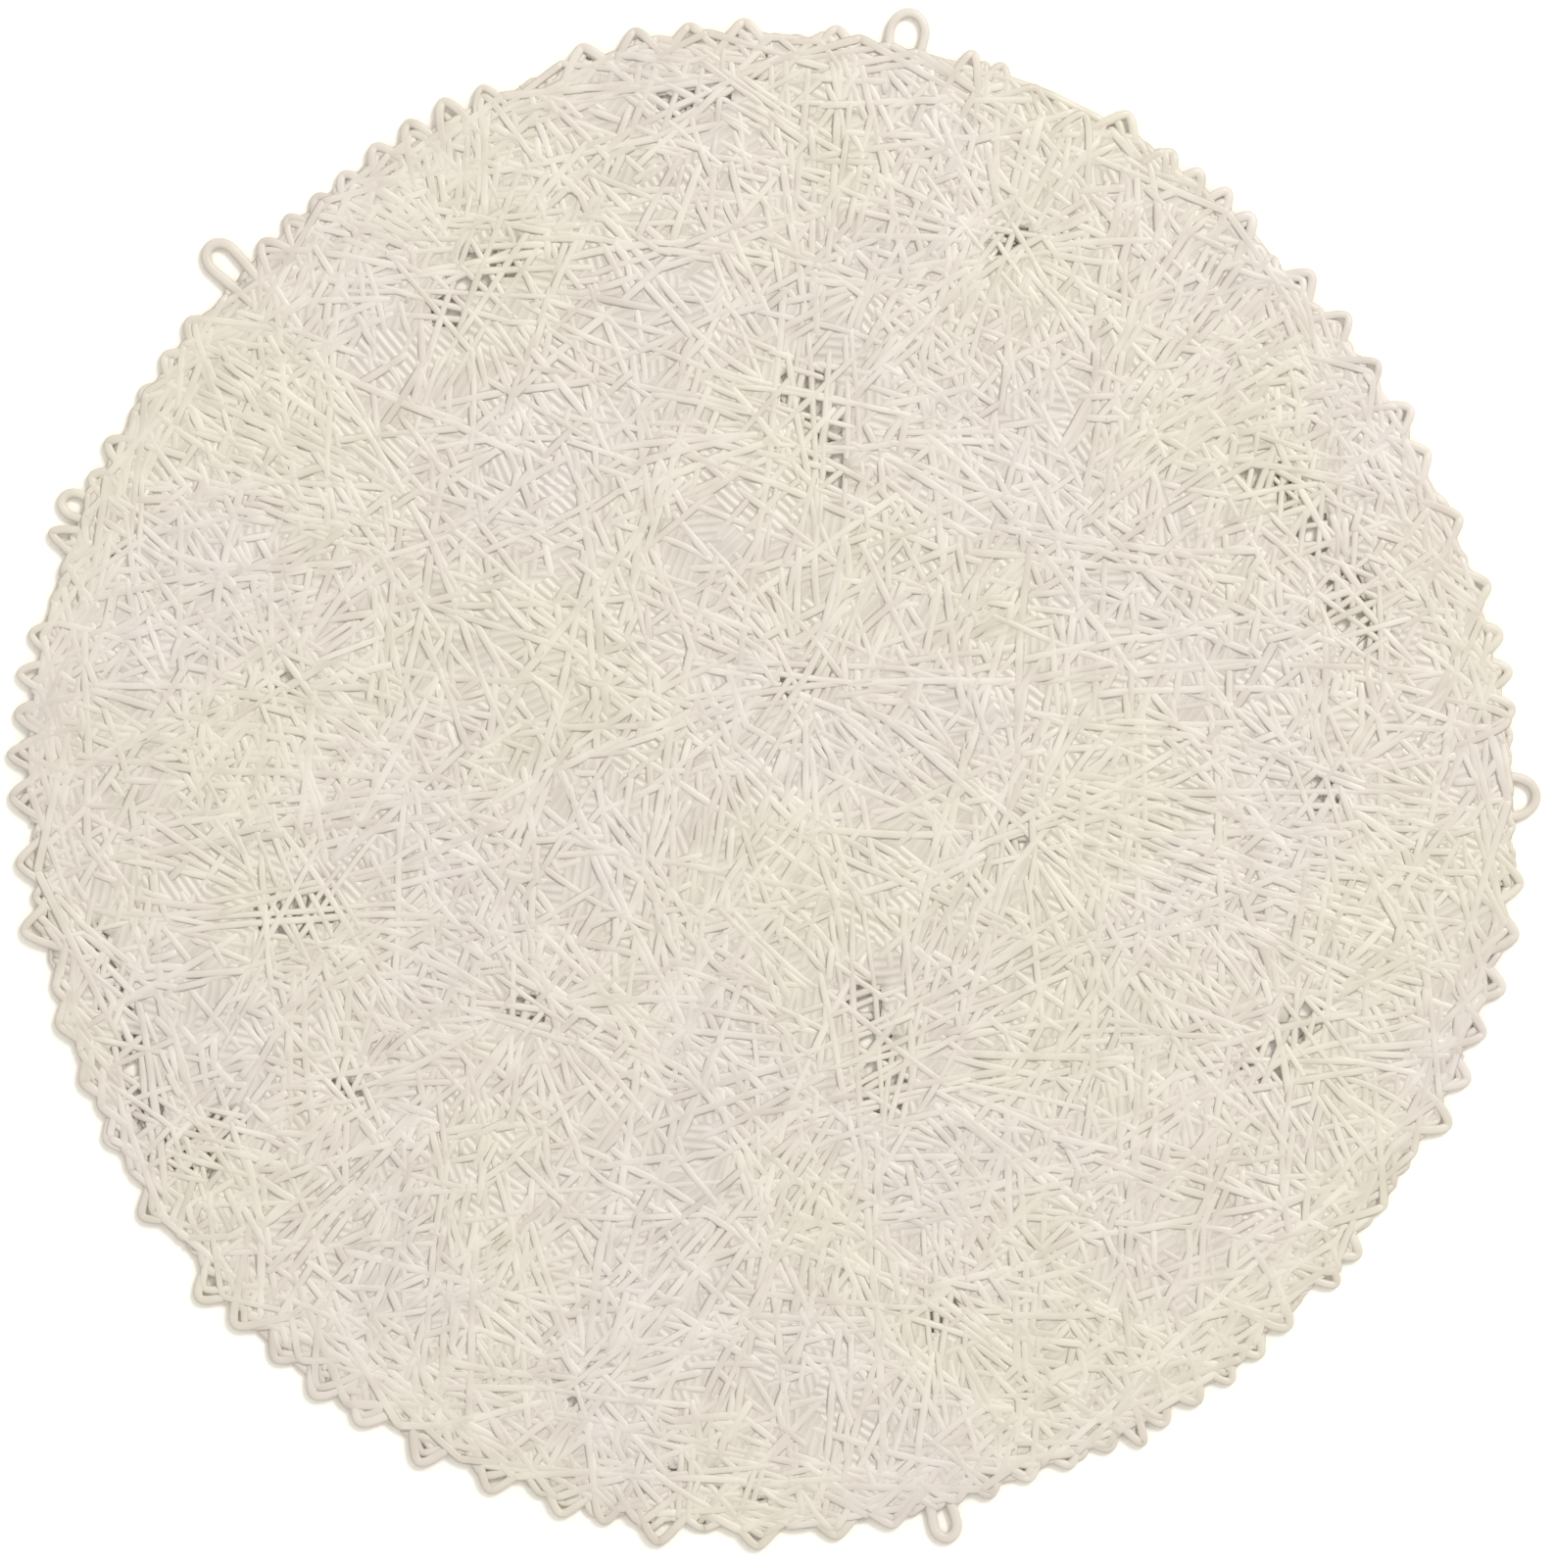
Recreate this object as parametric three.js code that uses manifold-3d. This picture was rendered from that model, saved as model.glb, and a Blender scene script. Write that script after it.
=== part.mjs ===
// Round openwork placemat of laid vinyl yarn, lying flat on a table.
// Millimetres, +Z up. The origin is the middle of the round body, on the table.
// One yarn was laid over itself in bursts, turning back in a loop at the rim each time,
// and was then pressed and fused, so the whole mat is one flat solid.

import * as THREE from 'three';
import { mergeVertices } from 'three/addons/utils/BufferGeometryUtils.js';
import Module from 'manifold-3d';

// The pressed body
const BODY_THICKNESS = 2.2;
const BODY_SIDES = 132;

// The yarn, flattened by pressing
const YARN_WIDTH = 2.3;
const YARN_HEIGHT = 1.7;
const YARN_CROWN = 1.3;
const YARN_LIFT = 0.15;

// Rim loops: each is a pointed arch whose legs spread as they run into the body. An arch has its
// row's width a little inside the body's edge. Its tip has a set radius where the width allows.
const LOOP_SINK = 4.5;
const LOOP_STEPS = 6;
const LOOP_REACH = { least: 0.72, most: 1.12 };
const WIDTH_INSET = 1.2;
const TIP_RADIUS = 1.15;
const LEAST_SPREAD = 0.18;
const MOST_SPREAD = 0.97;

// Loops that reach this far are round-headed rings, open towards the middle by this angle
const TALL_REACH = 5.7;
const RING_OPENING = 90;

// Burst rays: ridges where the yarn runs over the others, fading outwards. Their starts are
// shares of the way to the burst's ring, and their ends shares of its reach.
const RAY_HEIGHT = 0.7;
const RAY_WIDTH = 2.4;
const RAY_SINK = 0.15;
const RAY_FADE = 0.35;
const RAY_SHORTEST = 8;
const RAY_START = { least: 0.9, most: 1.6 };
const RAY_END = { least: 0.75, most: 1.25 };
const RIM_MARGIN = 3;

// Burst gaps: kites whose blunt end points outwards. Their distances are shares of the way to
// the ring.
const GAP_DISTANCE = { least: 0.8, most: 1.3 };
const GAP_LENGTH = { least: 0.8, most: 1.2 };
const GAP_HALF_WIDTH = 0.32;
const GAP_BROADEST = 0.1;

// Rays and gaps stand at even angles, each turned by up to this share of the angle between two
const TURN = { least: 0, most: 0.5 };

// The step of an even spread of shares, and the offsets that keep the measures of one ray or gap
// from rising and falling together
const GOLDEN_STEP = 0.618034;
const OFFSET = { turn: 0, length: 2, start: 3, end: 5, distance: 7 };

// The rim, counter-clockwise from +X. Each row is a run of loops: at and pitch are in degrees,
// edge is the body's radius there, reach is how far the loops stand out past it, and width is
// a loop's outer width.
const RIM = [
  { at: 5.9, loops: 3, pitch: 2.9, edge: 185.0, reach: 3.4, width: 8.6 },
  { at: 15.6, loops: 3, pitch: 5.6, edge: 183.0, reach: 3.5, width: 12.0 },
  { at: 30.4, loops: 4, pitch: 4.3, edge: 182.6, reach: 4.3, width: 11.0 },
  { at: 49.7, loops: 4, pitch: 2.6, edge: 184.8, reach: 3.8, width: 8.0 },
  { at: 61.8, loops: 1, pitch: 0.0, edge: 187.0, reach: 4.3, width: 12.0 },
  { at: 72.0, loops: 2, pitch: 2.4, edge: 187.5, reach: 3.2, width: 7.4 },
  { at: 79.5, loops: 1, pitch: 0.0, edge: 188.0, reach: 9.6, width: 11.0 },
  { at: 84.8, loops: 1, pitch: 0.0, edge: 188.3, reach: 2.6, width: 9.0 },
  { at: 91.8, loops: 4, pitch: 4.1, edge: 189.0, reach: 3.2, width: 11.0 },
  { at: 112.3, loops: 4, pitch: 3.1, edge: 185.3, reach: 4.6, width: 9.2 },
  { at: 124.8, loops: 4, pitch: 2.7, edge: 184.3, reach: 2.4, width: 8.0 },
  { at: 136.0, loops: 1, pitch: 0.0, edge: 184.0, reach: 11.0, width: 9.5 },
  { at: 141.3, loops: 3, pitch: 3.2, edge: 183.8, reach: 2.4, width: 9.0 },
  { at: 152.5, loops: 2, pitch: 2.9, edge: 184.3, reach: 2.6, width: 8.0 },
  { at: 157.9, loops: 2, pitch: 2.6, edge: 185.6, reach: 5.6, width: 8.0 },
  { at: 168.3, loops: 4, pitch: 3.1, edge: 185.0, reach: 4.8, width: 9.0 },
  { at: 180.8, loops: 3, pitch: 5.1, edge: 185.2, reach: 4.8, width: 12.0 },
  { at: 198.6, loops: 3, pitch: 4.8, edge: 185.3, reach: 2.9, width: 13.0 },
  { at: 214.5, loops: 2, pitch: 7.5, edge: 186.5, reach: 5.2, width: 12.0 },
  { at: 225.3, loops: 4, pitch: 4.0, edge: 186.8, reach: 3.8, width: 11.0 },
  { at: 242.7, loops: 3, pitch: 5.7, edge: 185.5, reach: 4.7, width: 12.0 },
  { at: 257.4, loops: 1, pitch: 0.0, edge: 186.4, reach: 2.6, width: 8.0 },
  { at: 261.7, loops: 2, pitch: 7.5, edge: 186.8, reach: 5.6, width: 13.0 },
  { at: 275.2, loops: 2, pitch: 4.4, edge: 185.8, reach: 3.0, width: 12.0 },
  { at: 283.5, loops: 1, pitch: 0.0, edge: 185.0, reach: 9.2, width: 8.0 },
  { at: 287.4, loops: 4, pitch: 3.3, edge: 184.0, reach: 2.3, width: 9.0 },
  { at: 299.7, loops: 1, pitch: 0.0, edge: 185.4, reach: 4.4, width: 6.6 },
  { at: 301.9, loops: 5, pitch: 3.0, edge: 186.0, reach: 3.0, width: 8.0 },
  { at: 318.8, loops: 2, pitch: 2.7, edge: 186.0, reach: 3.6, width: 8.0 },
  { at: 333.5, loops: 4, pitch: 3.7, edge: 187.0, reach: 3.6, width: 10.0 },
  { at: 348.7, loops: 2, pitch: 3.9, edge: 187.8, reach: 3.8, width: 11.0 },
  { at: 359.2, loops: 1, pitch: 0.0, edge: 187.0, reach: 6.0, width: 12.0 },
];

// The bursts, as places on the body. The gaps between their strands lie about a ring, an ellipse:
// ring is half its width, long its length over its width and lean its length's direction in
// degrees. gap is a gap's length, and reach is how far the rays run from the burst's middle.
const BURSTS = [
  { x: -74, y: 127, ring: 6.5, long: 1.5, lean: 40, gaps: 6, gap: 3.6, rays: 15, reach: 34 },
  { x: -13, y: 175, ring: 5.0, long: 2.0, lean: 28, gaps: 6, gap: 3.2, rays: 12, reach: 30 },
  { x: 13, y: 90, ring: 6.5, long: 1.8, lean: 100, gaps: 8, gap: 3.6, rays: 17, reach: 38 },
  { x: 60, y: 135, ring: 4.0, long: 1.2, lean: 20, gaps: 3, gap: 3.0, rays: 13, reach: 34 },
  { x: 130, y: 71, ring: 5.5, long: 1.8, lean: 124, gaps: 6, gap: 3.2, rays: 12, reach: 28 },
  { x: 147, y: 44, ring: 5.5, long: 1.4, lean: 108, gaps: 4, gap: 3.2, rays: 12, reach: 30 },
  { x: 139, y: 0, ring: 4.0, long: 1.2, lean: 80, gaps: 3, gap: 2.8, rays: 13, reach: 36 },
  { x: 130, y: -65, ring: 6.0, long: 1.5, lean: 60, gaps: 5, gap: 3.2, rays: 15, reach: 36 },
  { x: 27, y: -66, ring: 7.0, long: 1.7, lean: 112, gaps: 8, gap: 3.9, rays: 17, reach: 40 },
  { x: -60, y: -56, ring: 4.0, long: 1.2, lean: 10, gaps: 3, gap: 3.0, rays: 13, reach: 34 },
  { x: -118, y: -31, ring: 6.0, long: 1.3, lean: 5, gaps: 6, gap: 3.4, rays: 18, reach: 40 },
  { x: -166, y: -46, ring: 4.5, long: 1.9, lean: 112, gaps: 4, gap: 3.4, rays: 9, reach: 24 },
  { x: -153, y: -77, ring: 5.5, long: 2.2, lean: 109, gaps: 8, gap: 4.6, rays: 11, reach: 28 },
  { x: -139, y: -89, ring: 5.0, long: 1.3, lean: 60, gaps: 4, gap: 3.2, rays: 9, reach: 26 },
  { x: -161, y: 62, ring: 4.5, long: 1.4, lean: 70, gaps: 3, gap: 2.8, rays: 11, reach: 30 },
  { x: -123, y: 25, ring: 4.5, long: 1.2, lean: 0, gaps: 3, gap: 2.8, rays: 12, reach: 30 },
  { x: 9, y: 26, ring: 4.5, long: 1.3, lean: 30, gaps: 3, gap: 2.9, rays: 13, reach: 30 },
  { x: 63, y: -12, ring: 4.5, long: 1.2, lean: 160, gaps: 3, gap: 2.8, rays: 14, reach: 38 },
  { x: 44, y: -132, ring: 4.5, long: 1.2, lean: 50, gaps: 2, gap: 2.8, rays: 13, reach: 34 },
  { x: -45, y: -150, ring: 4.5, long: 1.3, lean: 20, gaps: 2, gap: 2.8, rays: 12, reach: 32 },
  { x: -14, y: -173, ring: 4.0, long: 2.4, lean: -4, gaps: 4, gap: 3.2, rays: 7, reach: 22 },
];

const UP = new THREE.Vector3(0, 0, 1);
const SMALLEST_EDGE = Math.min(...RIM.map((run) => run.edge));

const wasm = await Module();
wasm.setup();

// A value within a range that differs from its neighbours', the same on every run
function uneven(range, index) {
  return THREE.MathUtils.lerp(range.least, range.most, (index * GOLDEN_STEP) % 1);
}

// The point at an angle and a distance from the middle
function polar(degrees, radius) {
  const angle = THREE.MathUtils.degToRad(degrees);
  return new THREE.Vector2(radius * Math.cos(angle), radius * Math.sin(angle));
}

// The body's radius at an angle: it eases from the middle of one run of loops to the next
function edgeRadius(degrees) {
  const stops = RIM.map((run) => ({ at: run.at + ((run.loops - 1) * run.pitch) / 2, edge: run.edge }));
  const found = stops.findIndex((stop) => stop.at > degrees);
  const next = found < 0 ? 0 : found;
  const before = (next + stops.length - 1) % stops.length;
  const span = (stops[next].at - stops[before].at + 360) % 360;
  const along = ((degrees - stops[before].at + 360) % 360) / span;
  const ease = (1 - Math.cos(Math.PI * along)) / 2;
  return THREE.MathUtils.lerp(stops[before].edge, stops[next].edge, ease);
}

// A closed geometry as a solid that can be joined and cut
function solidOf(geometry) {
  geometry.deleteAttribute('normal');
  geometry.deleteAttribute('uv');
  const merged = mergeVertices(geometry, 1e-4);
  const mesh = new wasm.Mesh({
    numProp: 3,
    vertProperties: new Float32Array(merged.attributes.position.array),
    triVerts: new Uint32Array(merged.index.array),
  });
  return new wasm.Manifold(mesh);
}

// The pressed body: a flat disc as uneven at its edge as the laid yarn leaves it
function body() {
  const outline = [];
  for (let side = 0; side < BODY_SIDES; side += 1) {
    const degrees = (side * 360) / BODY_SIDES;
    outline.push(polar(degrees, edgeRadius(degrees)));
  }
  const flat = { depth: BODY_THICKNESS, bevelEnabled: false };
  return solidOf(new THREE.ExtrudeGeometry(new THREE.Shape(outline), flat));
}

// A centre line in the mat's plane at an angle round the rim: getPlace gives along and aside
class RimLine extends THREE.Curve {
  constructor(at) {
    super();
    this.at = at;
  }

  getPoint(t, target = new THREE.Vector3()) {
    const { along, aside } = this.getPlace(t);
    target.set(along, aside, YARN_LIFT + YARN_HEIGHT / 2);
    return target.applyAxisAngle(UP, THREE.MathUtils.degToRad(this.at));
  }
}

// A pointed arch: a hyperbola whose depth below the tip goes with the hyperbolic cosine and whose
// half width goes with the hyperbolic sine
class ArchLine extends RimLine {
  constructor(at, edge, reach, width) {
    super(at);
    const depth = reach + WIDTH_INSET;
    const half = (width - YARN_WIDTH) / 2;
    const free = Math.sqrt(Math.max(half ** 2 - 2 * depth * TIP_RADIUS, 0)) / depth;
    const spread = Math.min(Math.max(free, LEAST_SPREAD), (MOST_SPREAD * half) / depth);
    this.wide = (half ** 2 - (depth * spread) ** 2) / (2 * depth * spread);
    this.deep = this.wide / spread;
    this.outer = edge + reach - YARN_WIDTH / 2;
    this.limit = Math.acosh(1 + (reach + LOOP_SINK) / this.deep);
  }

  getPlace(t) {
    const turn = this.limit * (2 * t - 1);
    return {
      along: this.outer - this.deep * (Math.cosh(turn) - 1),
      aside: this.wide * Math.sinh(turn),
    };
  }
}

// A tall ring: most of an ellipse, open towards the middle
class RingLine extends RimLine {
  constructor(at, edge, reach, width) {
    super(at);
    this.inner = edge - LOOP_SINK + YARN_WIDTH / 2;
    this.outer = edge + reach - YARN_WIDTH / 2;
    this.halfWidth = (width - YARN_WIDTH) / 2;
  }

  getPlace(t) {
    const turn = THREE.MathUtils.degToRad((360 - RING_OPENING) * (t - 0.5));
    return {
      along: (this.inner + this.outer) / 2 + ((this.outer - this.inner) / 2) * Math.cos(turn),
      aside: this.halfWidth * Math.sin(turn),
    };
  }
}

// The pressed yarn's section, wide below and narrower at its crown: x is down, y is across
function yarnSection() {
  const down = YARN_HEIGHT / 2;
  const foot = YARN_WIDTH / 2;
  const crown = YARN_CROWN / 2;
  return new THREE.Shape([
    new THREE.Vector2(down, -foot),
    new THREE.Vector2(down, foot),
    new THREE.Vector2(-down, crown),
    new THREE.Vector2(-down, -crown),
  ]);
}

// Every turn of the yarn round the rim
function rimLoops() {
  const loops = [];
  for (const run of RIM) {
    for (let index = 0; index < run.loops; index += 1) {
      const at = run.at + index * run.pitch;
      const share = run.loops > 1 ? uneven(LOOP_REACH, loops.length) : 1;
      const reach = run.reach * share;
      const Line = reach < TALL_REACH ? ArchLine : RingLine;
      const extrudePath = new Line(at, edgeRadius(at), reach, run.width);
      const turn = new THREE.ExtrudeGeometry(yarnSection(), { steps: LOOP_STEPS, extrudePath });
      loops.push(solidOf(turn));
    }
  }
  return loops;
}

// One ray: a bar of square section lying on an edge, of which the upper half stands out
function ray(burst, degrees, from, to) {
  const bar = new THREE.CylinderGeometry(RAY_FADE, 1, to - from, 4);
  bar.rotateZ(-Math.PI / 2);
  bar.scale(1, RAY_WIDTH / 2, RAY_HEIGHT);
  bar.translate((from + to) / 2, 0, 0);
  bar.rotateZ(THREE.MathUtils.degToRad(degrees));
  bar.translate(burst.x, burst.y, BODY_THICKNESS - RAY_SINK);
  return solidOf(bar);
}

// How far a burst's ring is from its middle in a direction
function ringDistance(burst, degrees) {
  const turn = THREE.MathUtils.degToRad(degrees - burst.lean);
  return (burst.ring * burst.long) / Math.hypot(Math.cos(turn), burst.long * Math.sin(turn));
}

// How far a ray from a burst can run before it comes near the rim
function roomToRim(burst, degrees) {
  const heading = THREE.MathUtils.degToRad(degrees);
  const ahead = burst.x * Math.cos(heading) + burst.y * Math.sin(heading);
  const free = SMALLEST_EDGE - RIM_MARGIN;
  return Math.sqrt(ahead ** 2 + free ** 2 - burst.x ** 2 - burst.y ** 2) - ahead;
}

// The raised rays of every burst
function burstRays() {
  const rays = [];
  let count = 0;
  for (const burst of BURSTS) {
    for (let index = 0; index < burst.rays; index += 1) {
      const degrees = ((index + uneven(TURN, count + OFFSET.turn)) * 360) / burst.rays;
      const from = ringDistance(burst, degrees) * uneven(RAY_START, count + OFFSET.start);
      const reach = burst.reach * uneven(RAY_END, count + OFFSET.end);
      const to = Math.min(reach, roomToRim(burst, degrees));
      if (to - from > RAY_SHORTEST) rays.push(ray(burst, degrees, from, to));
      count += 1;
    }
  }
  return rays;
}

// One gap: a prism through the body whose section is a kite in line with the burst's middle
function gap(burst, degrees, distance, length) {
  const broadest = GAP_BROADEST * length;
  const kite = new THREE.Shape([
    new THREE.Vector2(-length / 2, 0),
    new THREE.Vector2(broadest, -GAP_HALF_WIDTH * length),
    new THREE.Vector2(length / 2, 0),
    new THREE.Vector2(broadest, GAP_HALF_WIDTH * length),
  ]);
  const prism = new THREE.ExtrudeGeometry(kite, { depth: 3 * BODY_THICKNESS, bevelEnabled: false });
  prism.translate(distance, 0, -BODY_THICKNESS);
  prism.rotateZ(THREE.MathUtils.degToRad(degrees));
  prism.translate(burst.x, burst.y, 0);
  return solidOf(prism);
}

// The gaps of every burst, about a ring round its middle
function burstGaps() {
  const gaps = [];
  for (const burst of BURSTS) {
    for (let index = 0; index < burst.gaps; index += 1) {
      const count = gaps.length;
      const degrees = ((index + uneven(TURN, count + OFFSET.turn)) * 360) / burst.gaps;
      const share = uneven(GAP_DISTANCE, count + OFFSET.distance);
      const distance = ringDistance(burst, degrees) * share;
      const length = burst.gap * uneven(GAP_LENGTH, count + OFFSET.length);
      gaps.push(gap(burst, degrees, distance, length));
    }
  }
  return gaps;
}

// Body, loops and rays fused, then the gaps cut through
function matGeometry() {
  const raised = [...rimLoops(), ...burstRays()];
  const fused = raised.reduce((whole, piece) => whole.add(piece), body());
  const openwork = burstGaps().reduce((whole, piece) => whole.subtract(piece), fused);
  const mesh = openwork.getMesh();
  const geometry = new THREE.BufferGeometry();
  geometry.setAttribute('position', new THREE.BufferAttribute(mesh.vertProperties, 3));
  geometry.setIndex(new THREE.BufferAttribute(mesh.triVerts, 1));
  geometry.computeVertexNormals();
  return geometry;
}

const creamVinyl = new THREE.MeshStandardMaterial({ color: 0xe5ddcf, roughness: 0.5, metalness: 0 });

const mat = new THREE.Mesh(matGeometry(), creamVinyl);
mat.name = 'mat';

const placemat = new THREE.Group();
placemat.add(mat);

export default placemat;
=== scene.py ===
"""Round openwork placemat of laid vinyl yarn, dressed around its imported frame.

One coated yarn was laid back and forth in straight runs, crossed over itself in star-shaped
bursts, turned back in a loop at the rim, and was then pressed until the crossings fused. Lengths
in the classes are millimetres. Meshes are put into Blender in metres, in the row's own frame.
"""

from __future__ import annotations

import logging
import math
from dataclasses import dataclass, replace
from enum import Enum
from typing import Any

import bpy
import numpy as np
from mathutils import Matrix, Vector

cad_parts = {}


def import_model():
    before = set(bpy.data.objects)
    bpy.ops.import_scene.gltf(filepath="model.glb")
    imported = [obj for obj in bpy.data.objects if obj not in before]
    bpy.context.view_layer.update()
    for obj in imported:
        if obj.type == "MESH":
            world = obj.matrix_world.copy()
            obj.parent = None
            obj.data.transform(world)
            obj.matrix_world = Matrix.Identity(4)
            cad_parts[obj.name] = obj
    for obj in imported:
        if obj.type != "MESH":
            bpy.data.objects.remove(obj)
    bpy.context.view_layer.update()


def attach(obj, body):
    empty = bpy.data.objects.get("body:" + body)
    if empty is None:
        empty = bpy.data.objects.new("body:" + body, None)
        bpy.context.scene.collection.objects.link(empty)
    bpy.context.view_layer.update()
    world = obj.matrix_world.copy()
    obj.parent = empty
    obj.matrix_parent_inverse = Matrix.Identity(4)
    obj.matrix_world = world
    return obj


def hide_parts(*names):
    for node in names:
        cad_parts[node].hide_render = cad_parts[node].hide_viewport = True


LOG = logging.getLogger("placemat")

MM = 0.001
NODE = "mat"
BODY = "root"
SEED = 4107
FULL_TURN = 2 * math.pi
GOLDEN_STEP = 0.618034
TINY = 1e-6
MIDDLE_HEIGHT = 1.1


@dataclass(frozen=True)
class Span:
    """The least and most of a value that varies."""

    least: float
    most: float

    def at(self, share: float) -> float:
        """The value at a share of the way from the least to the most."""
        return self.least + (self.most - self.least) * share

    def draw(self, rng: np.random.Generator, size: int | tuple[int, ...]) -> np.ndarray:
        """Values drawn evenly between the two, in an array of the given size."""
        return rng.uniform(self.least, self.most, size)


class Side(Enum):
    """Which face of the pressed mat a strand lies nearer to, as its centre line's height."""

    UNDER = 0.5
    MIDDLE = 1.45
    OVER = 1.7


@dataclass(frozen=True)
class RimRun:
    """A run of rim loops, counter-clockwise from +X.

    at and pitch are degrees. edge is the body's radius, reach how far the loops stand out past
    it, and width a loop's outer width.
    """

    at: float
    loops: int
    pitch: float
    edge: float
    reach: float
    width: float


@dataclass(frozen=True)
class Burst:
    """A star of strands round an eye where the mat is loosest.

    x and y are its place. eye is half the eye's width, long its length over its width and lean
    its length's direction in degrees. The strands that cross the eye lie pitch apart and run up
    to reach past its middle. rays is the number that start beside it.
    """

    x: float
    y: float
    eye: float
    long: float
    lean: float
    pitch: float
    rays: int
    reach: float

    def half(self, heading: float) -> float:
        """Half the eye's width seen along a heading in degrees, taken as an ellipse's."""
        turn = math.radians(heading - self.lean)
        return self.eye * math.hypot(self.long * math.sin(turn), math.cos(turn))


@dataclass(frozen=True)
class Fan:
    """Long strands that spread from a place.

    towards and spread are degrees. The strands start some way past start and end about at reach.
    """

    x: float
    y: float
    towards: float
    spread: float
    strands: int
    start: float
    reach: float


RIM_RUNS = (
    RimRun(at=5.9, loops=3, pitch=2.9, edge=185.0, reach=3.4, width=8.6),
    RimRun(at=15.6, loops=3, pitch=5.6, edge=183.0, reach=3.5, width=12.0),
    RimRun(at=30.4, loops=4, pitch=4.3, edge=182.6, reach=4.3, width=11.0),
    RimRun(at=49.7, loops=4, pitch=2.6, edge=184.8, reach=3.8, width=8.0),
    RimRun(at=61.8, loops=1, pitch=0.0, edge=187.0, reach=4.3, width=12.0),
    RimRun(at=72.0, loops=2, pitch=2.4, edge=187.5, reach=3.2, width=7.4),
    RimRun(at=79.5, loops=1, pitch=0.0, edge=188.0, reach=9.6, width=11.0),
    RimRun(at=84.8, loops=1, pitch=0.0, edge=188.3, reach=2.6, width=9.0),
    RimRun(at=91.8, loops=4, pitch=4.1, edge=189.0, reach=3.2, width=11.0),
    RimRun(at=112.3, loops=4, pitch=3.1, edge=185.3, reach=4.6, width=9.2),
    RimRun(at=124.8, loops=4, pitch=2.7, edge=184.3, reach=2.4, width=8.0),
    RimRun(at=136.0, loops=1, pitch=0.0, edge=184.0, reach=11.0, width=9.5),
    RimRun(at=141.3, loops=3, pitch=3.2, edge=183.8, reach=2.4, width=9.0),
    RimRun(at=152.5, loops=2, pitch=2.9, edge=184.3, reach=2.6, width=8.0),
    RimRun(at=157.9, loops=2, pitch=2.6, edge=185.6, reach=5.6, width=8.0),
    RimRun(at=168.3, loops=4, pitch=3.1, edge=185.0, reach=4.8, width=9.0),
    RimRun(at=180.8, loops=3, pitch=5.1, edge=185.2, reach=4.8, width=12.0),
    RimRun(at=198.6, loops=3, pitch=4.8, edge=185.3, reach=2.9, width=13.0),
    RimRun(at=214.5, loops=2, pitch=7.5, edge=186.5, reach=5.2, width=12.0),
    RimRun(at=225.3, loops=4, pitch=4.0, edge=186.8, reach=3.8, width=11.0),
    RimRun(at=242.7, loops=3, pitch=5.7, edge=185.5, reach=4.7, width=12.0),
    RimRun(at=257.4, loops=1, pitch=0.0, edge=186.4, reach=2.6, width=8.0),
    RimRun(at=261.7, loops=2, pitch=7.5, edge=186.8, reach=5.6, width=13.0),
    RimRun(at=275.2, loops=2, pitch=4.4, edge=185.8, reach=3.0, width=12.0),
    RimRun(at=283.5, loops=1, pitch=0.0, edge=185.0, reach=9.2, width=8.0),
    RimRun(at=287.4, loops=4, pitch=3.3, edge=184.0, reach=2.3, width=9.0),
    RimRun(at=299.7, loops=1, pitch=0.0, edge=185.4, reach=4.4, width=6.6),
    RimRun(at=301.9, loops=5, pitch=3.0, edge=186.0, reach=3.0, width=8.0),
    RimRun(at=318.8, loops=2, pitch=2.7, edge=186.0, reach=3.6, width=8.0),
    RimRun(at=333.5, loops=4, pitch=3.7, edge=187.0, reach=3.6, width=10.0),
    RimRun(at=348.7, loops=2, pitch=3.9, edge=187.8, reach=3.8, width=11.0),
    RimRun(at=359.2, loops=1, pitch=0.0, edge=187.0, reach=6.0, width=12.0),
)

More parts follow.
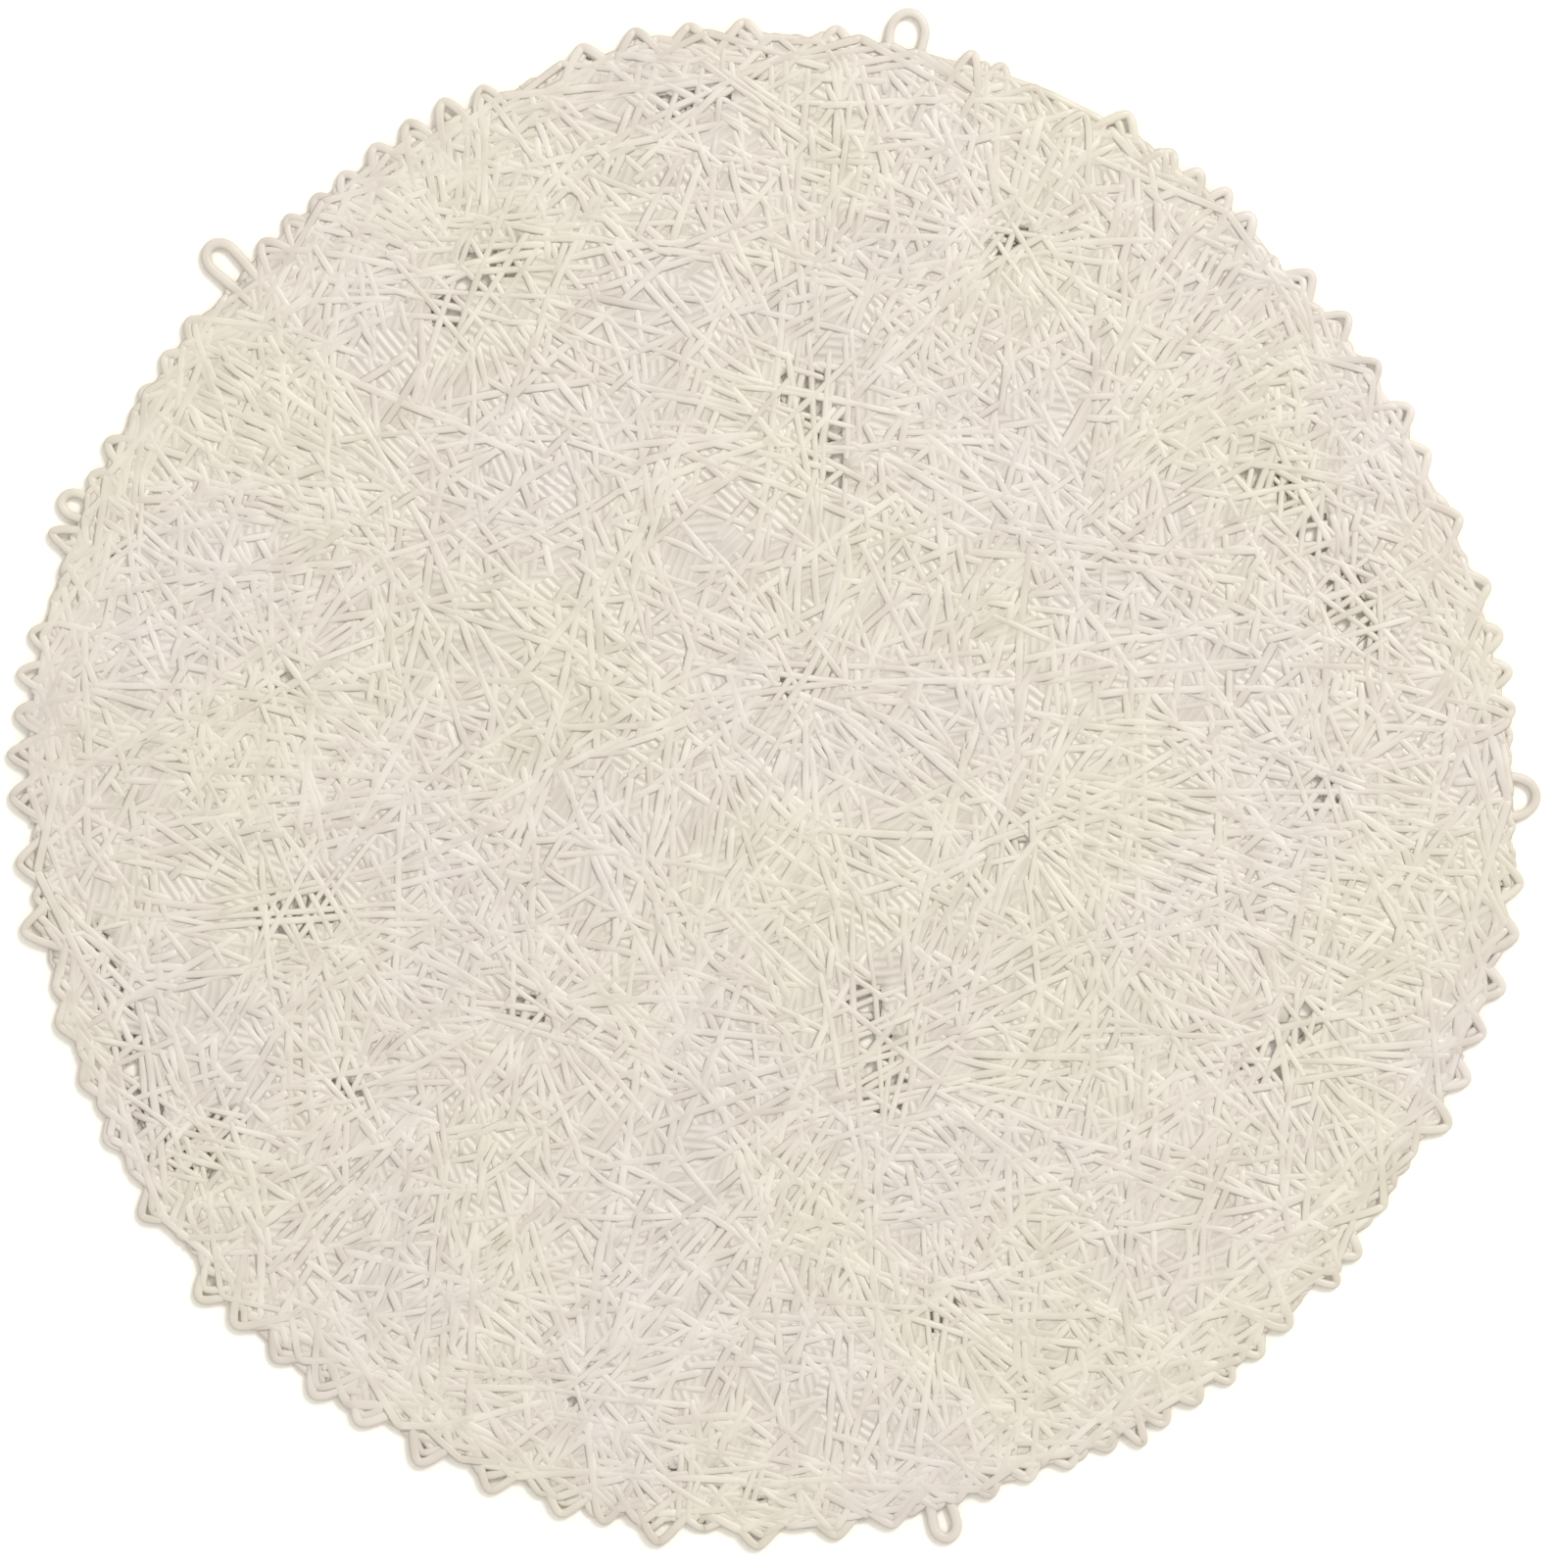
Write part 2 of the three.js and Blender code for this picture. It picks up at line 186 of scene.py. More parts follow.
BURSTS = (
    Burst(x=-74, y=127, eye=8.5, long=1.6, lean=40, pitch=3.4, rays=44, reach=46),
    Burst(x=-13, y=175, eye=7.5, long=2.0, lean=28, pitch=3.5, rays=28, reach=36),
    Burst(x=13, y=90, eye=9, long=1.8, lean=100, pitch=3.4, rays=48, reach=50),
    Burst(x=60, y=135, eye=4.5, long=1.2, lean=20, pitch=3.1, rays=34, reach=38),
    Burst(x=130, y=71, eye=8.5, long=1.8, lean=124, pitch=3.5, rays=38, reach=30),
    Burst(x=147, y=44, eye=8, long=1.4, lean=108, pitch=3.5, rays=34, reach=28),
    Burst(x=139, y=0, eye=4.5, long=1.2, lean=80, pitch=3.1, rays=36, reach=42),
    Burst(x=130, y=-65, eye=8.5, long=1.5, lean=60, pitch=3.3, rays=42, reach=46),
    Burst(x=27, y=-66, eye=9.5, long=1.7, lean=112, pitch=3.6, rays=54, reach=54),
    Burst(x=-60, y=-56, eye=4.5, long=1.2, lean=10, pitch=3.1, rays=34, reach=38),
    Burst(x=-118, y=-31, eye=8, long=1.3, lean=5, pitch=3.4, rays=56, reach=56),
    Burst(x=-166, y=-46, eye=6.5, long=1.8, lean=112, pitch=3.7, rays=26, reach=22),
    Burst(x=-155, y=-80, eye=9, long=2.0, lean=109, pitch=4.4, rays=26, reach=30),
    Burst(x=-139, y=-89, eye=7.5, long=1.3, lean=60, pitch=3.6, rays=30, reach=22),
    Burst(x=-105, y=-76, eye=4, long=1.3, lean=150, pitch=3.1, rays=28, reach=26),
    Burst(x=-162, y=63, eye=5, long=1.4, lean=70, pitch=3.3, rays=30, reach=34),
    Burst(x=-123, y=25, eye=4.5, long=1.2, lean=0, pitch=3.1, rays=32, reach=40),
    Burst(x=9, y=26, eye=5, long=1.3, lean=30, pitch=3.1, rays=40, reach=44),
    Burst(x=63, y=-12, eye=4.5, long=1.2, lean=160, pitch=3, rays=36, reach=46),
    Burst(x=44, y=-132, eye=4.5, long=1.2, lean=50, pitch=3, rays=36, reach=44),
    Burst(x=-45, y=-150, eye=4.5, long=1.3, lean=20, pitch=3.1, rays=30, reach=40),
    Burst(x=-14, y=-175, eye=5, long=2.6, lean=-4, pitch=3.5, rays=24, reach=24),
    Burst(x=96, y=151, eye=3, long=1.2, lean=30, pitch=3.6, rays=14, reach=20),
)

# The discs of an eye, as shares of half its width: how much nearer than the eye's length the
# outer two stand to its middle, how far each is put aside, and each one's radius
DISC_SHORT = Span(0.4, 0.7)
DISC_ASIDE = Span(-0.25, 0.25)
DISC_RADIUS = Span(0.6, 0.87)

FANS = (
    Fan(x=16, y=18, towards=2, spread=76, strands=44, start=14, reach=150),
    Fan(x=66, y=-12, towards=-24, spread=64, strands=30, start=12, reach=118),
    Fan(x=-70, y=60, towards=172, spread=60, strands=30, start=6, reach=110),
    Fan(x=-40, y=0, towards=188, spread=70, strands=30, start=10, reach=130),
    Fan(x=10, y=96, towards=78, spread=90, strands=24, start=14, reach=86),
    Fan(x=22, y=-68, towards=-88, spread=100, strands=34, start=14, reach=110),
    Fan(x=-66, y=-60, towards=-128, spread=80, strands=26, start=12, reach=110),
    Fan(x=80, y=80, towards=48, spread=70, strands=26, start=8, reach=88),
    Fan(x=-74, y=128, towards=128, spread=70, strands=14, start=10, reach=44),
)


class Rim:
    """The mat's outline, worked out from its runs of loops."""

    def __init__(self, runs: tuple[RimRun, ...]) -> None:
        """Keeps the runs and the angle at which each run's edge radius holds.

        Args:
            runs: The runs of loops, by rising angle.
        """
        self.runs = runs
        self.stops = np.array([run.at + (run.loops - 1) * run.pitch / 2 for run in runs])
        self.edges = np.array([run.edge for run in runs])

    def radius(self, degrees: np.ndarray) -> np.ndarray:
        """The body's radius at each angle: a cosine ease between one run's middle and the next.

        Args:
            degrees: Angles counter-clockwise from +X, of any shape.

        Returns:
            The radii in millimetres, in the same shape.
        """
        degrees = np.asarray(degrees) % 360
        following = np.searchsorted(self.stops, degrees, side="right") % len(self.stops)
        before = following - 1
        span = (self.stops[following] - self.stops[before]) % 360
        along = ((degrees - self.stops[before]) % 360) / span
        ease = (1 - np.cos(np.pi * along)) / 2
        return self.edges[before] + (self.edges[following] - self.edges[before]) * ease

    def limit(self, place: np.ndarray, inset: float) -> np.ndarray:
        """The body's radius at each place's angle, less an inset."""
        return self.radius(np.degrees(np.arctan2(place[..., 1], place[..., 0]))) - inset

    def drawn_in(self, place: np.ndarray, inset: float) -> np.ndarray:
        """Draws places past the rim back on to it, towards the middle.

        Args:
            place: Places in millimetres, with x and y in the last axis.
            inset: How far inside the body's edge they may lie at most.

        Returns:
            The places, in the same shape.
        """
        away = np.maximum(np.hypot(place[..., 0], place[..., 1]), TINY)
        return place * np.minimum(1, self.limit(place, inset) / away)[..., None]


@dataclass(frozen=True)
class Section:
    """The yarn's section after pressing: a flattened round with an even number of corners."""

    width: float = 2.25
    height: float = 1.05
    corners: int = 6

    def ring(self) -> np.ndarray:
        """Corner places across and up: points of an ellipse, turned so that it lies on a side.

        Returns:
            An array of (corners, 2) in millimetres.
        """
        first = 0.5 if self.corners % 4 == 0 else 0.0
        turn = (np.arange(self.corners) + first) * FULL_TURN / self.corners
        ring = np.column_stack((np.cos(turn), np.sin(turn)))
        return ring / (2 * ring.max(axis=0)) * np.array([self.width, self.height])

    def end_quads(self) -> np.ndarray:
        """Corner numbers of the quads that close an end, all fanned from the first corner."""
        first = np.arange((self.corners - 2) // 2) * 2
        return np.column_stack((0 * first, first + 1, first + 2, first + 3))


@dataclass(frozen=True)
class Press:
    """The two warm plates that the mat was pressed between, and how softly they flatten it."""

    lower: float = 0.1
    upper: float = 2.1
    softness: float = 0.17

    def flatten(self, height: np.ndarray) -> np.ndarray:
        """Holds heights between the plates.

        Each plate is a soft limit: the distance past it becomes the softness times the logarithm
        of one plus the exponential of that distance over the softness. Heights keep their order,
        so strands that cross at a plate never share a surface.

        Args:
            height: Heights before pressing, in millimetres.

        Returns:
            The pressed heights.
        """
        soft = self.softness
        raised = self.lower + soft * np.logaddexp(0, (height - self.lower) / soft)
        return self.upper - soft * np.logaddexp(0, (self.upper - raised) / soft)


PRESS = Press()


@dataclass
class Strands:
    """Many strands with the same number of steps.

    path is (strands, steps, 3) in millimetres, and girth, tone and warmth are (strands, steps):
    the section's share of its full size, and how light and how yellow the yarn is from 0 to 1.
    """

    path: np.ndarray
    girth: np.ndarray
    tone: np.ndarray
    warmth: np.ndarray


@dataclass(frozen=True)
class Hand:
    """The small unevenness with which yarn is laid.

    bow is a share of a strand's length. wobble is sideways and wave is upwards. On each lies a
    second one: second_wobble is the share of both its height and its length. tip is the girth at
    the ends. The spreads are standard deviations. drift is the slow change of shade along a
    strand, and drift_rate its radians for each step.
    """

    bow: float = 0.022
    wobble: float = 0.45
    wobble_length: float = 80.0
    second_wobble: float = 0.4
    wave: float = 0.3
    wave_length: float = 12.0
    second_wave: float = 0.6
    second_wave_length: float = 1.63
    tip: float = 0.45
    girth_spread: float = 0.09
    tone: float = 0.5
    tone_spread: float = 0.09
    warmth: float = 0.5
    warmth_spread: float = 0.2
    drift: float = 0.07
    drift_rate: float = 0.45

    def lay(
        self,
        rng: np.random.Generator,
        start: np.ndarray,
        end: np.ndarray,
        level: np.ndarray,
        steps: int,
    ) -> Strands:
        """Lays strands from start to end: straight runs with a bow, a wobble and a height wave.

        A strand is the straight line, plus a sideways bow that is a parabola over its length, a
        sideways wobble of two sines, and a height of its level plus two sines. Their lengths are
        in millimetres, so that long and short strands are alike close to.

        Args:
            rng: The seeded source of unevenness.
            start: Start places, (strands, 2).
            end: End places, (strands, 2).
            level: Centre line heights, (strands, steps).
            steps: Points along each strand.

        Returns:
            The strands.
        """
        count = len(start)
        share = np.linspace(0, 1, steps)[None, :]
        run = end - start
        length = np.linalg.norm(run, axis=1)[:, None]
        aside = np.column_stack((-run[:, 1], run[:, 0])) / length
        bow = rng.normal(0, self.bow, (count, 1)) * length * 4 * share * (1 - share)
        phase = rng.uniform(0, FULL_TURN, (4, count, 1))
        travel = FULL_TURN * share * length
        second = self.second_wobble
        wobble = np.sin(travel / self.wobble_length + phase[0])
        wobble = wobble + second * np.sin(travel / (second * self.wobble_length) + phase[1])
        sideways = bow + self.wobble * wobble
        flat = start[:, None, :] + run[:, None, :] * share[..., None]
        flat = flat + aside[:, None, :] * sideways[..., None]
        wave = np.sin(travel / self.wave_length + phase[2])
        second_length = self.second_wave_length * self.wave_length
        wave = wave + self.second_wave * np.sin(travel / second_length + phase[3])
        height = level + self.wave * wave
        path = np.concatenate((flat, height[..., None]), axis=2)
        return self.dress(rng, path)

    def dress(self, rng: np.random.Generator, path: np.ndarray) -> Strands:
        """Gives laid centre lines their girth, tone and warmth.

        Girth narrows to a blunt tip over the last step at each end. Tone and warmth are one
        draw for each strand plus a slow sine along it.

        Args:
            rng: The seeded source of unevenness.
            path: Centre lines, (strands, steps, 3).

        Returns:
            The strands.
        """
        count, steps, _ = path.shape
        from_end = np.minimum(np.arange(steps), np.arange(steps)[::-1])
        taper = np.where(from_end == 0, self.tip, 1.0)[None, :]
        girth = taper * (1 + rng.normal(0, self.girth_spread, (count, 1)))
        phase = rng.uniform(0, FULL_TURN, (count, 1))
        slow = self.drift * np.sin(np.arange(steps)[None, :] * self.drift_rate + phase)
        tone = self.tone + rng.normal(0, self.tone_spread, (count, 1)) + slow
        warmth = self.warmth + rng.normal(0, self.warmth_spread, (count, 1)) - slow
        return Strands(path, girth, np.clip(tone, 0, 1), np.clip(warmth, 0, 1))


def swept(strands: Strands, section: Section) -> tuple[np.ndarray, np.ndarray, np.ndarray]:
    """Carries the section along every strand at once.

    The section stands upright across each strand's heading, so a vertex is the centre line's
    point plus the corner's share of the sideways and upward directions times the girth. Quads
    join each ring to the next, and a fan of quads closes each end.

    Args:
        strands: The strands to sweep.
        section: The yarn's section.

    Returns:
        Vertices in millimetres (n, 3), quads (m, 4), and tone and warmth by vertex (n, 2).
    """
    count, steps, _ = strands.path.shape
    corners = section.corners
    heading = np.gradient(strands.path, axis=1)[..., :2]
    heading = heading / np.linalg.norm(heading, axis=-1, keepdims=True)
    across = np.stack((-heading[..., 1], heading[..., 0], 0 * heading[..., 0]), axis=-1)
    ring = section.ring()
    offset = across[:, :, None, :] * ring[None, None, :, :1]
    offset = offset + np.array([0.0, 0.0, 1.0]) * ring[None, None, :, 1:]
    vertices = strands.path[:, :, None, :] + offset * strands.girth[:, :, None, None]
    vertices[..., 2] = PRESS.flatten(vertices[..., 2])

    number = np.arange(count * steps * corners).reshape(count, steps, corners)
    here, beside = number[:, :-1, :], np.roll(number, -1, axis=2)[:, :-1, :]
    there, opposite = number[:, 1:, :], np.roll(number, -1, axis=2)[:, 1:, :]
    sides = np.stack((here, beside, opposite, there), axis=-1).reshape(-1, 4)
    ends = section.end_quads()
    first = number[:, 0, :][:, ends[:, ::-1]].reshape(-1, 4)
    last = number[:, -1, :][:, ends].reshape(-1, 4)
    quads = np.concatenate((sides, first, last))
    shade = np.stack((strands.tone, strands.warmth), axis=-1)
    shade = np.repeat(shade[:, :, None, :], corners, axis=2).reshape(-1, 2)
    return vertices.reshape(-1, 3), quads, shade


def mesh_object(
    name: str, vertices: np.ndarray, quads: np.ndarray, shade: np.ndarray
) -> bpy.types.Object:
    """Puts a quad mesh into the scene in metres, smooth, with its tone and warmth attributes.

    Args:
        name: The piece's name.
        vertices: Places in millimetres, (n, 3).
        quads: Vertex numbers, (m, 4), counter-clockwise seen from outside.
        shade: Tone and warmth by vertex, (n, 2).

    Returns:
        The new object, at the origin.
    """
    mesh = bpy.data.meshes.new(name)
    mesh.vertices.add(len(vertices))
    mesh.vertices.foreach_set("co", (vertices * MM).astype(np.float32).ravel())
    mesh.loops.add(quads.size)
    mesh.loops.foreach_set("vertex_index", quads.astype(np.int32).ravel())
    mesh.polygons.add(len(quads))
    mesh.polygons.foreach_set("loop_start", np.arange(0, quads.size, 4, dtype=np.int32))
    mesh.update(calc_edges=True)
    mesh.validate()
    mesh.polygons.foreach_set("use_smooth", np.ones(len(mesh.polygons), dtype=bool))
    for column, title in enumerate(("tone", "warmth")):
        layer = mesh.attributes.new(title, "FLOAT", "POINT")
        layer.data.foreach_set("value", shade[:, column].astype(np.float32))
    made = bpy.data.objects.new(name, mesh)
    bpy.context.scene.collection.objects.link(made)
    return made


def strand_object(name: str, batches: list[Strands], section: Section) -> bpy.types.Object:
    """Sweeps several batches of strands into one piece.

    Args:
        name: The piece's name.
        batches: Batches of strands, each with its own number of steps.
        section: The yarn's section.

    Returns:
        The new object.
    """
    parts, total = [], 0
    for batch in batches:
        vertices, quads, shade = swept(batch, section)
        parts.append((vertices, quads + total, shade))
        total += len(vertices)
    return mesh_object(name, *(np.concatenate(arrays) for arrays in zip(*parts)))


def loose_discs(bursts: tuple[Burst, ...]) -> np.ndarray:
    """Overlapping discs that make up the eyes, so that no eye is a plain round.

    Each eye is three discs in a row along its lean. Golden steps vary how far each stands from
    the eye's middle, along and aside, and how large it is.

    Args:
        bursts: The bursts.

    Returns:
        Every disc's middle and radius in millimetres, (3 * bursts, 3).
    """
    rows = []
    for burst in bursts:
        for step in (-1, 0, 1):
            share = (len(rows) * GOLDEN_STEP) % 1
            along = step * burst.eye * (burst.long - DISC_SHORT.at(share))
            aside = burst.eye * DISC_ASIDE.at(share)
            turn = math.radians(burst.lean)
            x = burst.x + along * math.cos(turn) - aside * math.sin(turn)
            y = burst.y + along * math.sin(turn) + aside * math.cos(turn)
            rows.append((x, y, burst.eye * DISC_RADIUS.at(share)))
    return np.array(rows)


def polar(degrees: np.ndarray, radius: np.ndarray) -> np.ndarray:
    """Places at angles and distances from the middle, stacked in the last axis."""
    angle = np.radians(degrees)
    return np.stack((radius * np.cos(angle), radius * np.sin(angle)), axis=-1)


@dataclass
class Bed:
    """The fused lowest yarn between the two faces: a thin sheet that is open at every eye.

    Rates are in radians for each millimetre, along x and along y. grid_reach is past the rim
    everywhere. tone and warmth are its shades, as those of strands are.
    """

    rim: Rim
    discs: np.ndarray
    thickness: float = 1.28
    ripple: float = 0.12
    ripple_rates: tuple[float, float] = (0.9, 0.8)
    bend: float = 2.0
    bend_rates: tuple[float, float] = (0.27, 0.31)
    cell: float = 3.1
    grid_reach: float = 195.0
    rim_inset: float = 1.8
    eye_share: float = 0.78
    tone: float = 0.45
    warmth: float = 0.5

    def build(self) -> bpy.types.Object:
        """Makes the sheet from a square grid.

        Grid points past the outline are drawn in to it, and points inside an eye are pushed out
        to its edge. Cells whose middle lay outside the mat or inside an eye are left out. The
        lower face repeats the upper one, and a wall follows every edge with one cell beside it.

        Returns:
            The sheet as one closed mesh.
        """
        half = int(self.grid_reach / self.cell)
        line = np.arange(-half, half + 1) * self.cell
        x, y = np.meshgrid(line, line, indexing="ij")
        place = np.stack((x, y), axis=-1)
        kept = self.inside((place[:-1, :-1] + place[1:, 1:]) / 2)
        flat = self.fitted(place).reshape(-1, 2)

        number = np.arange(x.size).reshape(x.shape)
        top = np.stack(
            (number[:-1, :-1], number[1:, :-1], number[1:, 1:], number[:-1, 1:]), axis=-1
        )[kept]
        edges = np.stack((top, np.roll(top, -1, axis=1)), axis=-1).reshape(-1, 2)
        key = np.sort(edges, axis=1)
        _, index, times = np.unique(key, axis=0, return_index=True, return_counts=True)
        first, second = edges[index[times == 1]].T
        walls = np.column_stack((second, first, first + x.size, second + x.size))
        quads = np.concatenate((top, top[:, ::-1] + x.size, walls))

        up = (MIDDLE_HEIGHT + self.thickness / 2 + self.rippled(flat))[:, None]
        vertices = np.concatenate((np.hstack((flat, up)), np.hstack((flat, up - self.thickness))))
        used, packed = np.unique(quads, return_inverse=True)
        shade = np.tile((self.tone, self.warmth), (len(used), 1))
        return mesh_object("fused_bed", vertices[used], packed.reshape(quads.shape), shade)

    def rippled(self, flat: np.ndarray) -> np.ndarray:
        """The ripple's heights: two crossed sines multiplied, each bent by a slower one.

        Args:
            flat: Places, (n, 2).

        Returns:
            Heights about zero, (n,).
        """
        x, y = flat.T
        along_x = np.sin(x * self.ripple_rates[0] + self.bend * np.sin(y * self.bend_rates[1]))
        along_y = np.sin(y * self.ripple_rates[1] + self.bend * np.sin(x * self.bend_rates[0]))
        return self.ripple * (along_x * along_y)

    def inside(self, place: np.ndarray) -> np.ndarray:
        """Tells which places lie within the bed's outline and outside every eye.

        Args:
            place: Places, with x and y in the last axis.

        Returns:
            One truth value for each place.
        """
        kept = np.hypot(place[..., 0], place[..., 1]) < self.rim.limit(place, self.rim_inset)
        for x, y, radius in self.discs:
            away = np.hypot(place[..., 0] - x, place[..., 1] - y)
            kept &= away > radius * self.eye_share
        return kept

    def fitted(self, place: np.ndarray) -> np.ndarray:
        """Draws places on to the outline from outside, and out of every eye on to its edge.

        Args:
            place: Places, with x and y in the last axis.

        Returns:
            The moved places, in the same shape.
        """
        place = self.rim.drawn_in(place, self.rim_inset)
        for x, y, radius in self.discs:
            middle = np.array([x, y])
            arm = place - middle
            away = np.maximum(np.linalg.norm(arm, axis=-1), TINY)
            push = np.maximum(1, radius * self.eye_share / away)
            place = middle + arm * push[..., None]
        return place


@dataclass
class Layout:
    """What every family of strands is laid on: the rim, the eyes and one source of chance.

    intrusion is the largest share of an eye's radius that a run with a berth may cut off.
    """

    rim: Rim
    discs: np.ndarray
    rng: np.random.Generator
    rim_inset: float = 1.4
    eye_clearance: float = 0.3
    intrusion: float = 0.3

    def held(self, place: np.ndarray) -> np.ndarray:
        """Draws places that lie past the rim back on to it, towards the middle."""
        return self.rim.drawn_in(place, self.rim_inset)

    def clear(
        self, start: np.ndarray, end: np.ndarray, berth: float = 0.0, strays: float = 0.1
    ) -> np.ndarray:
        """True for straight runs that pass every eye.

        The nearest point of a run to an eye's middle is the middle's share of the run's
        direction, held between its ends. Each run keeps off by a distance of its own, drawn so
        that short distances are the most common. A few stray across all the same.

        Args:
            start: Start places, (runs, 2).
            end: End places, (runs, 2).
            berth: The longest distance that a run keeps off, past the clearance.
            strays: The share of runs that stray across.

        Returns:
            One truth value for each run.
        """
        keep = self.eye_clearance + berth * self.rng.random(len(start)) ** 2
        intrusion = 1 - self.intrusion * self.rng.random(len(start)) * (berth > 0)
        run = end - start
        square = np.maximum((run**2).sum(axis=1), TINY)
        passed = np.ones(len(start), dtype=bool)
        for x, y, radius in self.discs:
            arm = np.array([x, y]) - start
            share = np.clip((arm * run).sum(axis=1) / square, 0, 1)
            away = np.linalg.norm(arm - run * share[:, None], axis=1)
            passed &= away > radius * intrusion + keep
        return passed | (self.rng.random(len(start)) < strays)


def arch(share: np.ndarray, high: np.ndarray, foot: float, power: float) -> np.ndarray:
    """Heights that are high in the middle, at share 0, and sink to the foot at -1 and 1."""
    return high - (high - foot) * np.abs(share) ** power


@dataclass
class LongRuns:
    """Straight yarn from rim to rim, clear of every eye: the two lower layers.

    offset is a run's distance from the middle as a share of the radius. The lowest layer's
    strays floor the eyes' openings here and there, and few of the other layer's cross them.
    """

    layout: Layout
    hand: Hand = Hand(wave=0.22, wave_length=26.0)
    steps: int = 40
    tries: int = 9000
    past_rim: float = 200.0
    offset: Span = Span(-0.99, 0.99)
    level: Span = Span(-0.2, 0.2)
    lowest_strays: float = 0.1
    other_strays: float = 0.02

    def ends(self, wanted: int, strays: float) -> tuple[np.ndarray, np.ndarray]:
        """Draws runs that are evenly spread in place and direction.

        Each is drawn by its heading and its distance from the middle, both uniform. One that
        would cross an eye is dropped.

        Args:
            wanted: How many to return.
            strays: The share of runs that cross an eye all the same.

        Returns:
            Start and end places, each (wanted, 2).
        """
        rng = self.layout.rng
        heading = rng.uniform(0, 180, self.tries)
        half = np.degrees(np.arccos(self.offset.draw(rng, self.tries)))
        radius = np.full(self.tries, self.past_rim)
        start = self.layout.held(polar(heading - half, radius))
        end = self.layout.held(polar(heading + half, radius))
        chosen = np.flatnonzero(self.layout.clear(start, end, strays=strays))[:wanted]
        return start[chosen], end[chosen]

    def build(self, name: str, wanted: int, side: Side, section: Section) -> bpy.types.Object:
        """Lays one layer of long runs.

        Args:
            name: The piece's name.
            wanted: How many runs to lay.
            side: The layer's height.
            section: The yarn's section.

        Returns:
            The new object.
        """
        strays = self.lowest_strays if side is Side.UNDER else self.other_strays
        start, end = self.ends(wanted, strays)
        level = side.value + self.level.draw(self.layout.rng, (len(start), 1))
        level = level + np.zeros((1, self.steps))
        batch = self.hand.lay(self.layout.rng, start, end, level, self.steps)
        return strand_object(name, [batch], section)


@dataclass
class ShortRuns:
    """The stretches in which the outer yarn shows: it dives into the mat at both ends.

    step is a strand's length for each step of its mesh, and runs are made in groups of like
    length. A run that the rim cuts shorter than least is left out.
    """

    layout: Layout
    hand: Hand = Hand(wave=0.38)
    step: float = 3.2
    groups: int = 4
    length: Span = Span(30.0, 100.0)
    least: float = 14.0
    reach: float = 190.0
    berth: float = 18.0
    level: Span = Span(-0.25, 0.15)
    dive: float = 6.0

    def build(self, name: str, tries: int, side: Side, section: Section) -> bpy.types.Object:
        """Lays runs about places spread evenly over the mat, less those that cross an eye.

        Args:
            name: The piece's name.
            tries: How many runs to draw before the eyes are cleared.
            side: The face that they show on.
            section: The yarn's section.

        Returns:
            The new object.
        """
        rng = self.layout.rng
        middle = polar(rng.uniform(0, 360, tries), self.reach * np.sqrt(rng.random(tries)))
        half = polar(rng.uniform(0, 360, tries), self.length.draw(rng, tries) / 2)
        start, end = self.layout.held(middle - half), self.layout.held(middle + half)
        length = np.linalg.norm(end - start, axis=1)
        chosen = np.flatnonzero(self.layout.clear(start, end, self.berth) & (length > self.least))
        chosen = chosen[np.argsort(length[chosen])]
        batches = []
        for group in np.array_split(chosen, self.groups):
            steps = round(float(length[group].mean()) / self.step) + 1
            share = np.linspace(-1, 1, steps)[None, :]
            outer = abs(side.value - MIDDLE_HEIGHT) + self.level.draw(rng, (len(group), 1))
            level = arch(share, outer, 0.0, self.dive) * np.sign(side.value - MIDDLE_HEIGHT)
            level = MIDDLE_HEIGHT + level
            batches.append(self.hand.lay(rng, start[group], end[group], level, steps))
        return strand_object(name, batches, section)


